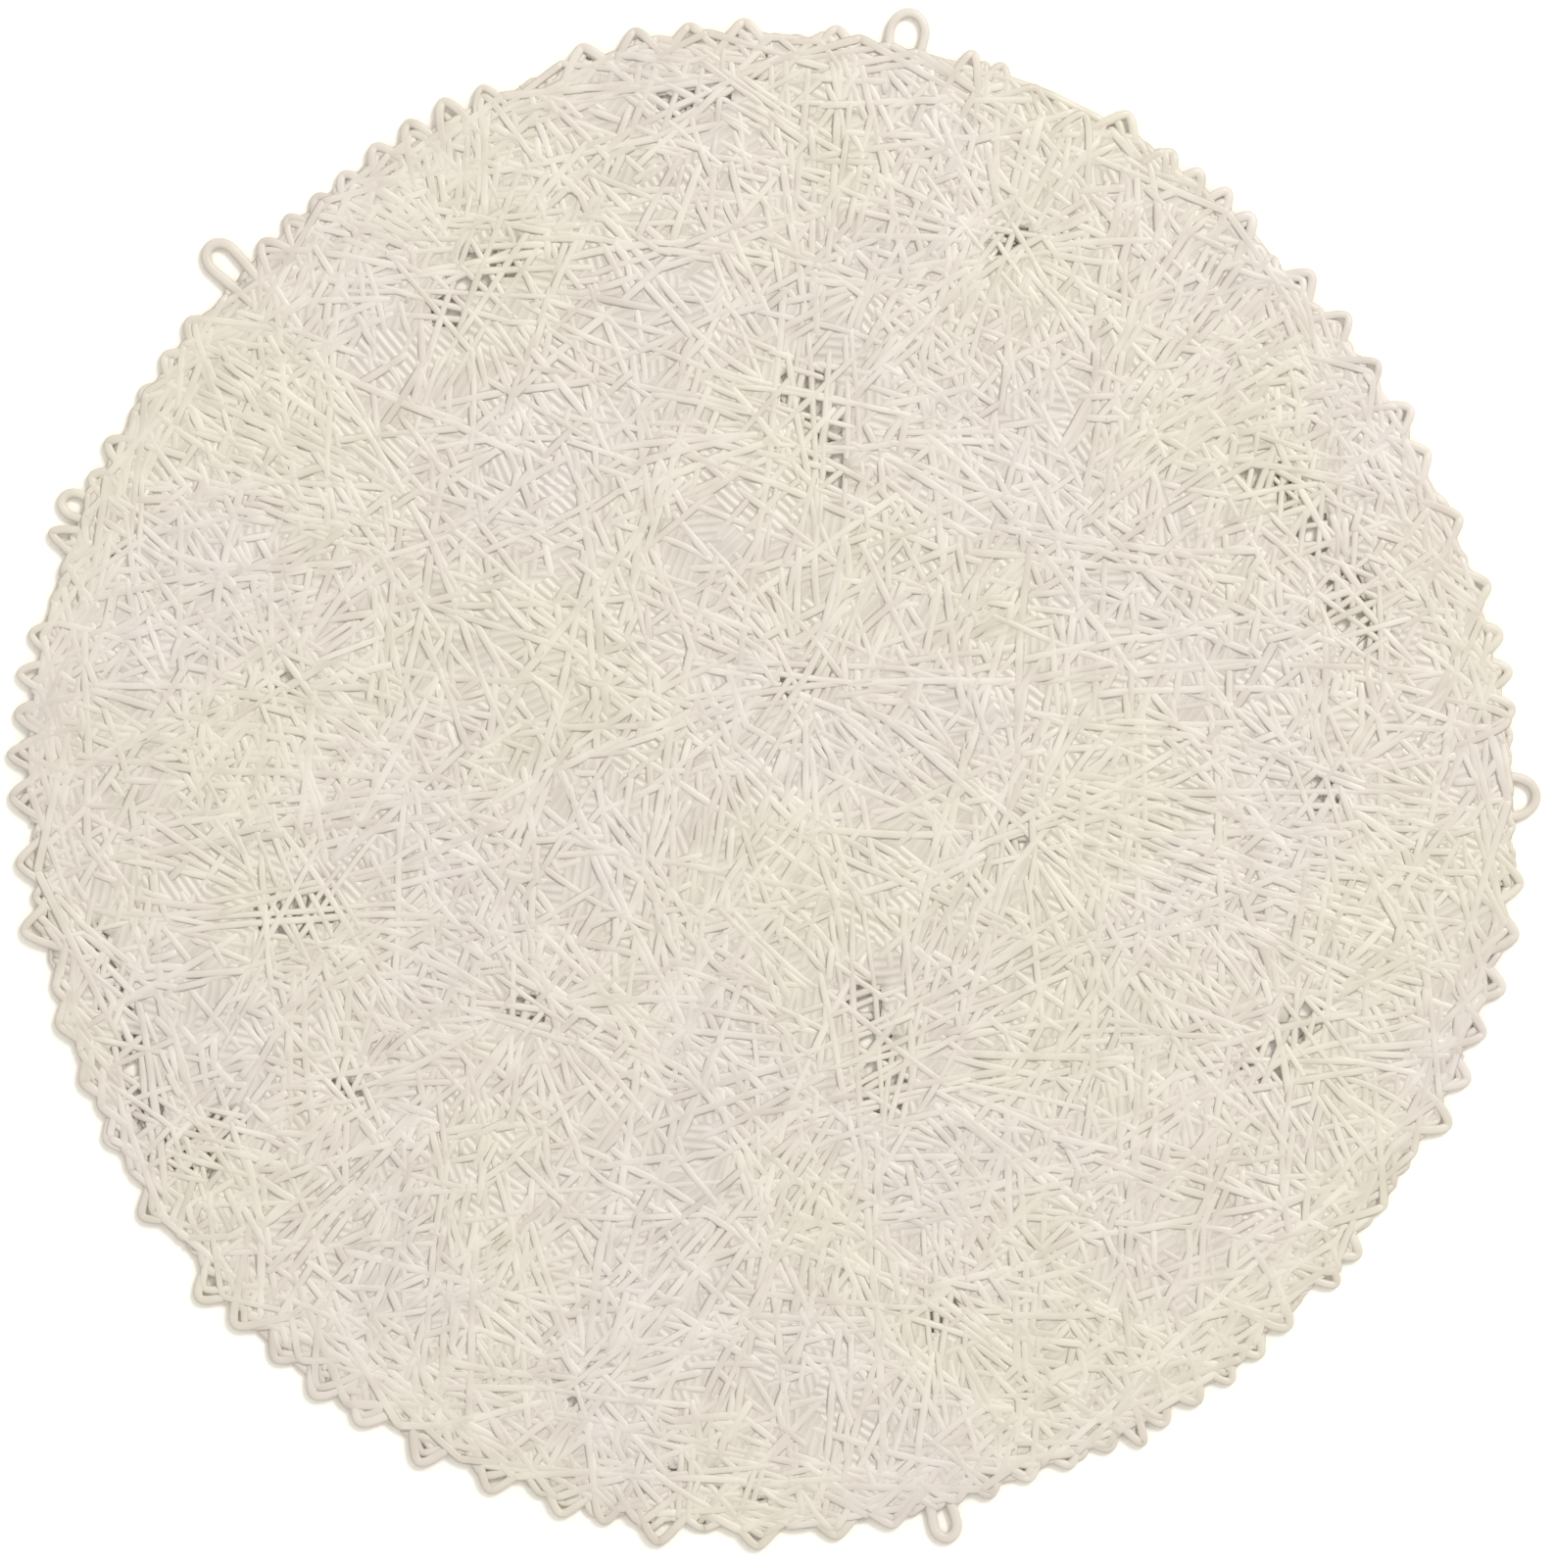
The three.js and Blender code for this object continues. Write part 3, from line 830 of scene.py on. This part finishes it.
@dataclass
class Stars:
    """The bursts: strands across each eye, and rays that start beside it.

    Strands cross in three headings, in degrees, each with its spacing as a share of the pitch.
    Reaches are shares of the burst's. fan, unevenness and ray_lean are degrees. The strands' own
    heights hold in a zone of so many half eyes, and dive is the power with which they sink to
    the foot.
    """

    layout: Layout
    bursts: tuple[Burst, ...]
    hand: Hand = Hand(bow=0.012, wobble=0.3, wave=0.26)
    ray_hand: Hand = Hand(wave=0.18)
    headings: tuple[float, ...] = (0.0, 68.0, 126.0)
    spacing: tuple[float, ...] = (1.0, 1.0, 1.8)
    golden_turn: float = 137.5
    through_steps: int = 28
    through_reach: Span = Span(0.45, 1.0)
    overlap: float = 1.12
    fan: float = 12.0
    jitter: float = 0.3
    unevenness: float = 7.0
    thinner: float = 0.85
    top: float = 1.8
    depth: float = 0.6
    foot: float = 0.9
    dive: float = 3.0
    zone: float = 1.2
    zone_edge: int = 4
    ray_steps: int = 12
    ray_turn: Span = Span(-0.4, 0.4)
    ray_lean: float = 5.0
    ray_start: Span = Span(1.0, 1.8)
    ray_reach: Span = Span(0.65, 1.35)
    ray_least: float = 8.0
    ray_level: Span = Span(-0.15, 0.15)
    ray_dive: float = 4.0

    def through(self, index: int, burst: Burst) -> Strands:
        """Strands that cross the eye in three headings and leave small openings between them.

        Those of one heading lie about the burst's pitch apart and fan out a little. Their
        heights in the eye are spread over the mat's thickness, so that the openings are deep.

        Args:
            index: The burst's number, which turns its headings by golden steps.
            burst: The burst.

        Returns:
            The strands.
        """
        rng = self.layout.rng
        asides, turns = [], []
        for turn, spacing in zip(self.headings, self.spacing):
            heading = index * self.golden_turn + turn
            half = self.overlap * burst.half(heading)
            count = max(2, round(2 * half / (burst.pitch * spacing)))
            even = np.arange(count) + 0.5 + rng.uniform(-self.jitter, self.jitter, count)
            even = even / count - 0.5
            asides.append(2 * half * even)
            turns.append(heading + self.fan * even + rng.normal(0, self.unevenness, count))
        aside, turn = np.concatenate(asides), np.concatenate(turns)
        count = len(turn)
        middle = np.array([burst.x, burst.y]) + polar(turn + 90, aside)
        before = burst.reach * self.through_reach.draw(rng, count)
        after = burst.reach * self.through_reach.draw(rng, count)
        start = self.layout.held(middle - polar(turn, before))
        end = self.layout.held(middle + polar(turn, after))
        share = np.linspace(-1, 1, self.through_steps)[None, :]
        eye_level = self.top - self.depth * rng.permutation(np.linspace(0, 1, count))[:, None]
        beside = arch(share, self.top, self.foot, self.dive)
        zone = self.zone * burst.eye * burst.long
        near = np.exp(-((share * burst.reach / zone) ** self.zone_edge))
        level = beside + (eye_level - beside) * near
        return self.hand.lay(rng, start, end, level, self.through_steps)

    def rays(self, burst: Burst) -> Strands:
        """Strands that rise beside the eye and sink at their far end, clear of other eyes.

        Args:
            burst: The burst.

        Returns:
            The strands, fewer than the burst's rays where other eyes or the rim are near.
        """
        rng, count = self.layout.rng, burst.rays
        turn = (np.arange(count) + self.ray_turn.draw(rng, count)) * 360 / count
        seen = [burst.half(angle + 90) for angle in turn]
        begin = np.array(seen) * self.ray_start.draw(rng, count)
        reach = burst.reach * self.ray_reach.draw(rng, count)
        reach = np.maximum(reach, begin + self.ray_least)
        middle = np.array([burst.x, burst.y])
        start = self.layout.held(middle + polar(turn + rng.normal(0, self.ray_lean, count), begin))
        end = self.layout.held(middle + polar(turn, reach))
        long_enough = np.linalg.norm(end - start, axis=1) > self.ray_least
        chosen = self.layout.clear(start, end) & long_enough
        start, end = start[chosen], end[chosen]
        share = np.linspace(-1, 1, self.ray_steps)[None, :]
        high = self.top + self.ray_level.draw(rng, (len(start), 1))
        level = arch(share, high, self.foot, self.ray_dive)
        return self.ray_hand.lay(rng, start, end, level, self.ray_steps)

    def build(self, section: Section) -> list[bpy.types.Object]:
        """Lays every burst's strands: those that cross, pulled a little thinner, and the rays.

        Args:
            section: The yarn's section.

        Returns:
            The crossing strands and the rays, as two pieces.
        """
        across = [self.through(index, burst) for index, burst in enumerate(self.bursts)]
        thinner = replace(section, width=self.thinner * section.width)
        return [
            strand_object("burst_strands", across, thinner),
            strand_object("burst_rays", [self.rays(burst) for burst in self.bursts], section),
        ]


@dataclass
class Fans:
    """Long strands that spread from the middle towards the rim.

    begin and reach are shares of the fan's reach. lean is in degrees.
    """

    layout: Layout
    fans: tuple[Fan, ...]
    hand: Hand = Hand(wave=0.38)
    steps: int = 30
    turn: Span = Span(-0.35, 0.35)
    begin: Span = Span(0.0, 0.35)
    reach: Span = Span(0.7, 1.3)
    least: float = 30.0
    lean: float = 3.0
    top: float = 1.78
    level: Span = Span(-0.3, 0.1)
    foot: float = 0.95
    dive: float = 5.0

    def spread(self, fan: Fan) -> Strands:
        """One fan: evenly turned strands with uneven starts and ends, sunk at both ends.

        Args:
            fan: The fan.

        Returns:
            The strands that pass every eye.
        """
        rng, count = self.layout.rng, fan.strands
        even = (np.arange(count) + self.turn.draw(rng, count)) / count - 0.5
        turn = fan.towards + fan.spread * even
        begin = fan.start + fan.reach * self.begin.draw(rng, count)
        reach = np.maximum(fan.reach * self.reach.draw(rng, count), begin + self.least)
        middle = np.array([fan.x, fan.y])
        start = self.layout.held(middle + polar(turn + rng.normal(0, self.lean, count), begin))
        end = self.layout.held(middle + polar(turn, reach))
        chosen = self.layout.clear(start, end)
        start, end = start[chosen], end[chosen]
        share = np.linspace(-1, 1, self.steps)[None, :]
        high = self.top + self.level.draw(rng, (len(start), 1))
        level = arch(share, high, self.foot, self.dive)
        return self.hand.lay(rng, start, end, level, self.steps)

    def build(self, section: Section) -> bpy.types.Object:
        """Lays every fan as one piece."""
        return strand_object("long_fans", [self.spread(fan) for fan in self.fans], section)


@dataclass
class Turns:
    """The yarn's turns at the rim: arches whose legs run on into the mat, and a few tall rings.

    A loop that reaches as far as tall is a ring. Legs are depths below the tips, and an arch has
    its row's width at join inside the body's edge. Inner turns' reach and width are shares of
    their loop's. The levels are centre line heights.
    """

    layout: Layout
    hand: Hand = Hand(tone=0.4, tone_spread=0.08)
    yarn: Section = Section(width=2.2, corners=8)
    steps: int = 30
    run_reach: Span = Span(0.72, 1.12)
    legs: float = 26.0
    leg_share: Span = Span(0.55, 1.3)
    leg_bend: float = 0.0012
    lift: Span = Span(0.2, 0.8)
    level: float = 1.15
    level_spread: Span = Span(-0.2, 0.2)
    join: float = 1.2
    shallowest: float = 1.5
    tip: float = 1.15
    least_slope: float = 0.18
    most_slope: float = 0.97
    least_room: float = 5.0
    tall: float = 5.7
    tall_legs: float = 16.0
    tall_head: float = 1.25
    tall_head_share: float = 1.8
    tall_narrowing: float = 0.35
    tall_sink: float = 0.5
    inner_least: tuple[float, float] = (0.25, 0.6)
    inner_most: tuple[float, float] = (0.55, 0.95)
    inner_turn: float = 0.5
    filling: int = 220
    filling_turn: Span = Span(-0.4, 0.4)
    filling_reach: Span = Span(-1.4, 1.0)
    filling_width: Span = Span(6.0, 14.0)
    low_legs: float = 20.0
    low_level: Span = Span(0.6, 1.55)

    def table(self) -> np.ndarray:
        """Works out every loop: its run's row, with the reach spread by golden steps.

        Returns:
            Angle in degrees, reach and width, (loops, 3).
        """
        rows = []
        for run in self.layout.rim.runs:
            for index in range(run.loops):
                share = (len(rows) * GOLDEN_STEP) % 1
                reach = run.reach * (self.run_reach.at(share) if run.loops > 1 else 1.0)
                rows.append((run.at + index * run.pitch, reach, run.width))
        return np.array(rows)

    def arches(self, rows: np.ndarray, legs: float, level: np.ndarray) -> Strands:
        """Turns with a rounded tip and legs that spread as they run inwards.

        Each is a hyperbola: its depth below the tip goes with the hyperbolic cosine less one and
        its half width with the hyperbolic sine. The legs' slope is chosen so that the tip has its
        set radius and the turn has its row's width where it meets the body's edge.

        Args:
            rows: Angle in degrees, reach and width, (turns, 3).
            legs: How deep the legs run, in millimetres, before they are varied.
            level: Centre line heights at the tips, (turns, 1).

        Returns:
            The strands.
        """
        rng = self.layout.rng
        at, reach, width = rows.T[:, :, None]
        edge = self.layout.rim.radius(at)
        depth = np.maximum(reach + self.join, self.shallowest)
        half = (width - self.yarn.width) / 2
        least = (depth * self.least_slope) ** 2
        slope = np.sqrt(np.maximum(half**2 - 2 * depth * self.tip, least))
        slope = np.minimum(slope / depth, self.most_slope * half / depth)
        across = (half**2 - (depth * slope) ** 2) / (2 * depth * slope)
        deep = across / slope
        longest = legs * self.leg_share.draw(rng, (2, len(rows), 1))
        longest = np.minimum(longest, self.room(polar(at, edge + reach))[..., None])
        share = np.linspace(-1, 1, self.steps)[None, :]
        limit = np.arccosh(1 + np.where(share < 0, longest[0], longest[1]) / deep)
        turn = share * limit
        inward = deep * (np.cosh(turn) - 1)
        sideways = across * np.sinh(turn)
        sideways = sideways + rng.normal(0, self.leg_bend, (len(rows), 1)) * inward**2
        outward = edge + reach - self.yarn.width / 2 - inward
        lift = self.lift.draw(rng, (len(rows), 1)) * np.sin(np.pi * np.abs(share))
        return self.turned(at, outward, sideways, level + lift)

    def room(self, tip: np.ndarray) -> np.ndarray:
        """Finds how deep the legs may run from each tip before they come to an eye.

        Args:
            tip: Places of the tips, (turns, 1, 2).

        Returns:
            Depths, (turns,).
        """
        away = [
            np.hypot(tip[..., 0] - x, tip[..., 1] - y) - radius
            for x, y, radius in self.layout.discs
        ]
        return np.maximum(np.min(away, axis=0), self.least_room)[..., 0]

    def tall_turns(self, rows: np.ndarray) -> Strands:
        """Tall turns: half an ellipse whose legs run on into the body and draw together.

        Args:
            rows: Angle in degrees, reach and width, (turns, 3).

        Returns:
            The strands.
        """
        at, reach, width = rows.T[:, :, None]
        half = (width - self.yarn.width) / 2
        head = np.minimum(self.tall_head * half, reach)
        share = np.linspace(-1, 1, self.steps)[None, :] * self.tall_head_share
        turn = np.clip(share, -1, 1) * np.pi / 2
        below = np.clip(np.abs(share) - 1, 0, None) / (self.tall_head_share - 1)
        inward = head * (1 - np.cos(turn)) + self.tall_legs * below
        sideways = half * np.sin(turn) * (1 - self.tall_narrowing * below)
        outward = self.layout.rim.radius(at) + reach - self.yarn.width / 2 - inward
        return self.turned(at, outward, sideways, self.level + self.tall_sink * below)

    def turned(
        self, at: np.ndarray, outward: np.ndarray, sideways: np.ndarray, height: np.ndarray
    ) -> Strands:
        """Turns outward and sideways distances to their angles, and dresses the strands.

        Args:
            at: Angles in degrees, (turns, 1).
            outward: Distances from the middle along the angle, (turns, steps).
            sideways: Distances across it, (turns, steps).
            height: Centre line heights, (turns, steps).

        Returns:
            The strands.
        """
        angle = np.radians(at)
        x = outward * np.cos(angle) - sideways * np.sin(angle)
        y = outward * np.sin(angle) + sideways * np.cos(angle)
        path = np.stack((x, y, height + 0 * x), axis=-1)
        return self.hand.dress(self.layout.rng, path)

    def inner(self, rows: np.ndarray) -> np.ndarray:
        """Adds a second, smaller turn inside each loop, as where yarn goes round twice.

        Args:
            rows: The loops' rows.

        Returns:
            As many rows again.
        """
        rng, count = self.layout.rng, len(rows)
        shares = rng.uniform(self.inner_least, self.inner_most, (count, 2))
        at = rows[:, 0] + rng.normal(0, self.inner_turn, count)
        return np.column_stack((at, rows[:, 1:] * shares))

    def fillers(self) -> np.ndarray:
        """Draws the low turns that make up the body's own edge between the loops.

        Returns:
            Angle in degrees, reach and width, (filling, 3).
        """
        rng, count = self.layout.rng, self.filling
        at = (np.arange(count) + self.filling_turn.draw(rng, count)) * 360 / count
        reach = self.filling_reach.draw(rng, count)
        return np.column_stack((at, reach, self.filling_width.draw(rng, count)))

    def build(self) -> list[bpy.types.Object]:
        """Makes the loops past the body's edge, and the low turns that fill the edge itself.

        Returns:
            The loops and the low turns, as two pieces.
        """
        rng, rows = self.layout.rng, self.table()
        tall = rows[:, 1] >= self.tall
        low = np.concatenate((self.fillers(), self.inner(rows[~tall])))
        rim_level = self.level + self.level_spread.draw(rng, (np.sum(~tall), 1))
        low_level = self.low_level.draw(rng, (len(low), 1))
        loops = [self.arches(rows[~tall], self.legs, rim_level), self.tall_turns(rows[tall])]
        low_turns = [self.arches(low, self.low_legs, low_level)]
        return [
            strand_object("rim_loops", loops, self.yarn),
            strand_object("edge_turns", low_turns, Section()),
        ]


def linear(hex_colour: str) -> tuple[float, float, float, float]:
    """Turns an sRGB hex colour into Blender's linear one.

    Args:
        hex_colour: Six hex digits with a leading hash sign.

    Returns:
        Red, green, blue and alpha.
    """
    shares = [int(hex_colour[place : place + 2], 16) / 255 for place in (1, 3, 5)]
    turned = [s / 12.92 if s <= 0.04045 else ((s + 0.055) / 1.055) ** 2.4 for s in shares]
    return (turned[0], turned[1], turned[2], 1.0)


def add_node(
    tree: bpy.types.NodeTree,
    kind: str,
    settings: dict[str, Any] | None = None,
    inputs: dict[str | int, Any] | None = None,
    links: dict[str | int, bpy.types.NodeSocket] | None = None,
) -> bpy.types.Node:
    """Adds a node with its settings, socket values and links.

    Args:
        tree: The material's node tree.
        kind: The node's type name.
        settings: Attribute values of the node.
        inputs: Input socket values by name or number.
        links: Output sockets of other nodes by this node's input name or number.

    Returns:
        The new node.
    """
    node = tree.nodes.new(kind)
    for name, value in (settings or {}).items():
        setattr(node, name, value)
    for name, value in (inputs or {}).items():
        node.inputs[name].default_value = value
    for name, source in (links or {}).items():
        tree.links.new(source, node.inputs[name])
    return node


@dataclass(frozen=True)
class CoatedYarn:
    """Polyester core coated in soft PVC, pressed warm until it fuses.

    It gives the eye a satin sheen on a slightly uneven cream. Sizes end in mm. The ends are the
    noise values at which a shift or a tint is full. own_warmth is a strand's own part in its
    tint, beside that of the patch that it lies in, and tint is how strongly it shows.
    """

    name: str = "PVC coated yarn, pressed"
    shaded: str = "#c3bcb1"
    plain: str = "#d2ccc2"
    light: str = "#ded9cf"
    cool: str = "#fffafd"
    warm: str = "#fffdf0"
    roughness: float = 0.42
    ior: float = 1.53
    patch_mm: float = 55.0
    patch_ends: Span = Span(0.36, 0.64)
    own_warmth: float = 0.3
    tint: float = 0.85
    pressed_mm: float = 6.5
    pressed_ends: Span = Span(0.3, 0.7)
    shift: Span = Span(-0.18, 0.18)
    grain_mm: float = 1.1
    grain_depth_mm: float = 0.12
    grain_strength: float = 0.25
    ridge_mm: float = 2.2
    ridge_depth_mm: float = 0.35
    ridge_strength: float = 0.8
    ridge_bend: float = 1.2
    turned_patch_mm: float = 13.0
    groove_width: float = 0.5
    groove_shade: float = 0.93

    def ridges(
        self, tree: bpy.types.NodeTree, place: bpy.types.NodeSocket
    ) -> bpy.types.NodeSocket:
        """Waves one yarn wide, in patches that are each turned their own way.

        The turn is a half turn times a random share for each patch. The wave texture repeats
        after a full turn over twenty times its scale.

        Args:
            tree: The material's node tree.
            place: Object coordinates.

        Returns:
            The waves' height from 0 to 1.
        """
        patch = add_node(
            tree,
            "ShaderNodeTexVoronoi",
            inputs={"Scale": 1 / (self.turned_patch_mm * MM)},
            links={"Vector": place},
        )
        share = add_node(tree, "ShaderNodeSeparateColor", links={0: patch.outputs["Color"]})
        angle = add_node(
            tree, "ShaderNodeMath", {"operation": "MULTIPLY"}, {1: math.pi}, {0: share.outputs[0]}
        )
        turned = add_node(
            tree,
            "ShaderNodeVectorRotate",
            {"rotation_type": "Z_AXIS"},
            links={"Vector": place, "Angle": angle.outputs[0]},
        )
        wave = add_node(
            tree,
            "ShaderNodeTexWave",
            inputs={
                "Scale": FULL_TURN / (20 * self.ridge_mm * MM),
                "Distortion": self.ridge_bend,
            },
            links={"Vector": turned.outputs[0]},
        )
        return wave.outputs["Fac"]

    def material(self, ridged: bool) -> bpy.types.Material:
        """Builds the finish.

        The tone attribute picks a cream between shaded and light, strand by strand, and a noise
        shifts it where the mat was pressed harder or softer. The warmth attribute and a slow
        noise tint it between cool and warm. A fine noise gives the coating its grain; the real
        grain is a few tenths of a millimetre and is drawn coarser, so that it shows.

        Args:
            ridged: Draws the yarn's own ridges on a surface that has none, with painted shade in
                the grooves between them.

        Returns:
            The material.
        """
        material = bpy.data.materials.new(self.name + ", side by side" * ridged)
        material.use_nodes = True
        tree = material.node_tree
        tree.nodes.clear()
        place = add_node(tree, "ShaderNodeTexCoord").outputs["Object"]
        tone = add_node(tree, "ShaderNodeAttribute", {"attribute_name": "tone"}).outputs["Fac"]
        warmth = add_node(tree, "ShaderNodeAttribute", {"attribute_name": "warmth"}).outputs["Fac"]
        pressed = add_node(
            tree,
            "ShaderNodeTexNoise",
            inputs={"Scale": 1 / (self.pressed_mm * MM), "Detail": 1.0},
            links={"Vector": place},
        )
        unevenly = add_node(
            tree,
            "ShaderNodeMapRange",
            inputs={
                "From Min": self.pressed_ends.least,
                "From Max": self.pressed_ends.most,
                "To Min": self.shift.least,
                "To Max": self.shift.most,
            },
            links={"Value": pressed.outputs["Fac"]},
        )
        toned = add_node(
            tree, "ShaderNodeMath", links={0: tone, 1: unevenly.outputs["Result"]}
        )
        cream = add_node(tree, "ShaderNodeValToRGB", links={"Fac": toned.outputs[0]})
        ramp = cream.color_ramp
        ramp.elements[0].color = linear(self.shaded)
        ramp.elements[1].color = linear(self.light)
        ramp.elements.new(0.5).color = linear(self.plain)
        patch = add_node(
            tree,
            "ShaderNodeTexNoise",
            inputs={"Scale": 1 / (self.patch_mm * MM), "Detail": 2.0},
            links={"Vector": place},
        )
        spread = add_node(
            tree,
            "ShaderNodeMapRange",
            inputs={"From Min": self.patch_ends.least, "From Max": self.patch_ends.most},
            links={"Value": patch.outputs["Fac"]},
        )
        lean = add_node(
            tree,
            "ShaderNodeMix",
            {"data_type": "FLOAT"},
            {0: self.own_warmth},
            {2: spread.outputs["Result"], 3: warmth},
        )
        tint = add_node(
            tree,
            "ShaderNodeMix",
            {"data_type": "RGBA"},
            {6: linear(self.cool), 7: linear(self.warm)},
            {0: lean.outputs[0]},
        )
        colour = add_node(
            tree,
            "ShaderNodeMix",
            {"data_type": "RGBA", "blend_type": "MULTIPLY"},
            {0: self.tint},
            {6: cream.outputs["Color"], 7: tint.outputs[2]},
        )
        grain = add_node(
            tree,
            "ShaderNodeTexNoise",
            inputs={"Scale": 1 / (self.grain_mm * MM), "Detail": 3.0},
            links={"Vector": place},
        )
        bump = add_node(
            tree,
            "ShaderNodeBump",
            inputs={"Strength": self.grain_strength, "Distance": self.grain_depth_mm * MM},
            links={"Height": grain.outputs["Fac"]},
        )
        coat, normal = colour.outputs[2], bump.outputs["Normal"]
        if ridged:
            ridges = self.ridges(tree, place)
            # The grooves between the drawn ridges are darkened towards groove_shade: painted shade
            # between neighbouring yarns.
            grooves = add_node(
                tree,
                "ShaderNodeMapRange",
                inputs={"From Max": self.groove_width, "To Min": self.groove_shade},
                links={"Value": ridges},
            )
            coat = add_node(
                tree,
                "ShaderNodeMix",
                {"data_type": "RGBA", "blend_type": "MULTIPLY"},
                {0: 1.0},
                {6: coat, 7: grooves.outputs["Result"]},
            ).outputs[2]
            normal = add_node(
                tree,
                "ShaderNodeBump",
                inputs={"Strength": self.ridge_strength, "Distance": self.ridge_depth_mm * MM},
                links={"Height": ridges, "Normal": normal},
            ).outputs["Normal"]
        surface = add_node(
            tree,
            "ShaderNodeBsdfPrincipled",
            inputs={"Roughness": self.roughness, "IOR": self.ior},
            links={"Base Color": coat, "Normal": normal},
        )
        add_node(tree, "ShaderNodeOutputMaterial", links={"Surface": surface.outputs[0]})
        return material


@dataclass
class Studio:
    """Pale floor, soft light and a camera straight above, as in a product shot.

    middle, frame_width, height and sensor are millimetres. The floor's, the lamp's and the
    clip's lengths are metres.
    """

    middle: tuple[float, float] = (2.16, 0.56)
    frame_width: float = 388.3
    height: float = 1500.0
    sensor: float = 36.0
    clip: tuple[float, float] = (0.05, 20.0)
    floor_size: float = 8.0
    floor_colour: str = "#fdf8ee"
    floor_roughness: float = 0.9
    world_colour: str = "#ffffff"
    world_strength: float = 0.88
    lamp_place: tuple[float, float, float] = (1.9, 2.1, 3.0)
    lamp_size: float = 1.5
    lamp_power: float = 88.0

    def build(self) -> None:
        """Makes the floor, the lights, the world and the camera."""
        self.floor()
        self.lights()
        self.camera()

    def floor(self) -> None:
        """A wide floor at the mat's underside, in matt white paint: pale, with no gloss."""
        half = self.floor_size / 2
        corners = [(-half, -half, 0), (half, -half, 0), (half, half, 0), (-half, half, 0)]
        mesh = bpy.data.meshes.new("floor")
        mesh.from_pydata(corners, [], [(0, 1, 2, 3)])
        floor = bpy.data.objects.new("floor", mesh)
        bpy.context.scene.collection.objects.link(floor)
        material = bpy.data.materials.new("White matt paint")
        material.use_nodes = True
        shader = material.node_tree.nodes["Principled BSDF"]
        shader.inputs["Base Color"].default_value = linear(self.floor_colour)
        shader.inputs["Roughness"].default_value = self.floor_roughness
        mesh.materials.append(material)

    def lights(self) -> None:
        """One large soft light far to the upper right, and an even white world."""
        world = bpy.data.worlds.new("studio")
        bpy.context.scene.world = world
        world.use_nodes = True
        background = world.node_tree.nodes["Background"]
        background.inputs["Color"].default_value = linear(self.world_colour)
        background.inputs["Strength"].default_value = self.world_strength
        data = bpy.data.lights.new("softbox", "AREA")
        data.shape = "DISK"
        data.size = self.lamp_size
        data.energy = self.lamp_power
        lamp = bpy.data.objects.new("softbox", data)
        lamp.location = self.lamp_place
        lamp.rotation_mode = "QUATERNION"
        lamp.rotation_quaternion = Vector(self.lamp_place).to_track_quat("Z", "Y")
        bpy.context.scene.collection.objects.link(lamp)
        bpy.context.scene.view_settings.view_transform = "Standard"

    def camera(self) -> None:
        """A long lens straight above, which frames the mat as the photograph does."""
        data = bpy.data.cameras.new("camera")
        data.sensor_fit = "HORIZONTAL"
        data.sensor_width = self.sensor
        data.lens = self.sensor * self.height / self.frame_width
        data.clip_start, data.clip_end = self.clip
        camera = bpy.data.objects.new("camera", data)
        camera.location = (self.middle[0] * MM, self.middle[1] * MM, self.height * MM)
        bpy.context.scene.collection.objects.link(camera)
        bpy.context.scene.camera = camera


def main() -> None:
    """Builds the mat around its frame."""
    logging.basicConfig(level=logging.INFO, format="%(message)s")
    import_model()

    rim, discs = Rim(RIM_RUNS), loose_discs(BURSTS)
    layout = Layout(rim, discs, np.random.default_rng(SEED))
    Studio().build()

    bed = Bed(rim, discs).build()
    yarn = Section()
    long_runs, short_runs = LongRuns(layout), ShortRuns(layout)
    pieces = [
        long_runs.build("runs_under", wanted=120, side=Side.UNDER, section=yarn),
        long_runs.build("runs_middle", wanted=110, side=Side.MIDDLE, section=yarn),
        short_runs.build("short_runs_under", tries=640, side=Side.UNDER, section=yarn),
        short_runs.build("short_runs_1", tries=700, side=Side.OVER, section=yarn),
        short_runs.build("short_runs_2", tries=700, side=Side.OVER, section=yarn),
        *Stars(layout, BURSTS).build(yarn),
        Fans(layout, FANS).build(yarn),
        *Turns(layout).build(),
    ]

    single, ridged = CoatedYarn().material(False), CoatedYarn().material(True)
    for piece in [bed, *pieces]:
        piece.data.materials.append(ridged if piece is bed else single)
        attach(piece, BODY)
        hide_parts(NODE)
        LOG.info("%s: %d triangles", piece.name, 2 * len(piece.data.polygons))


if __name__ == "__main__":
    main()
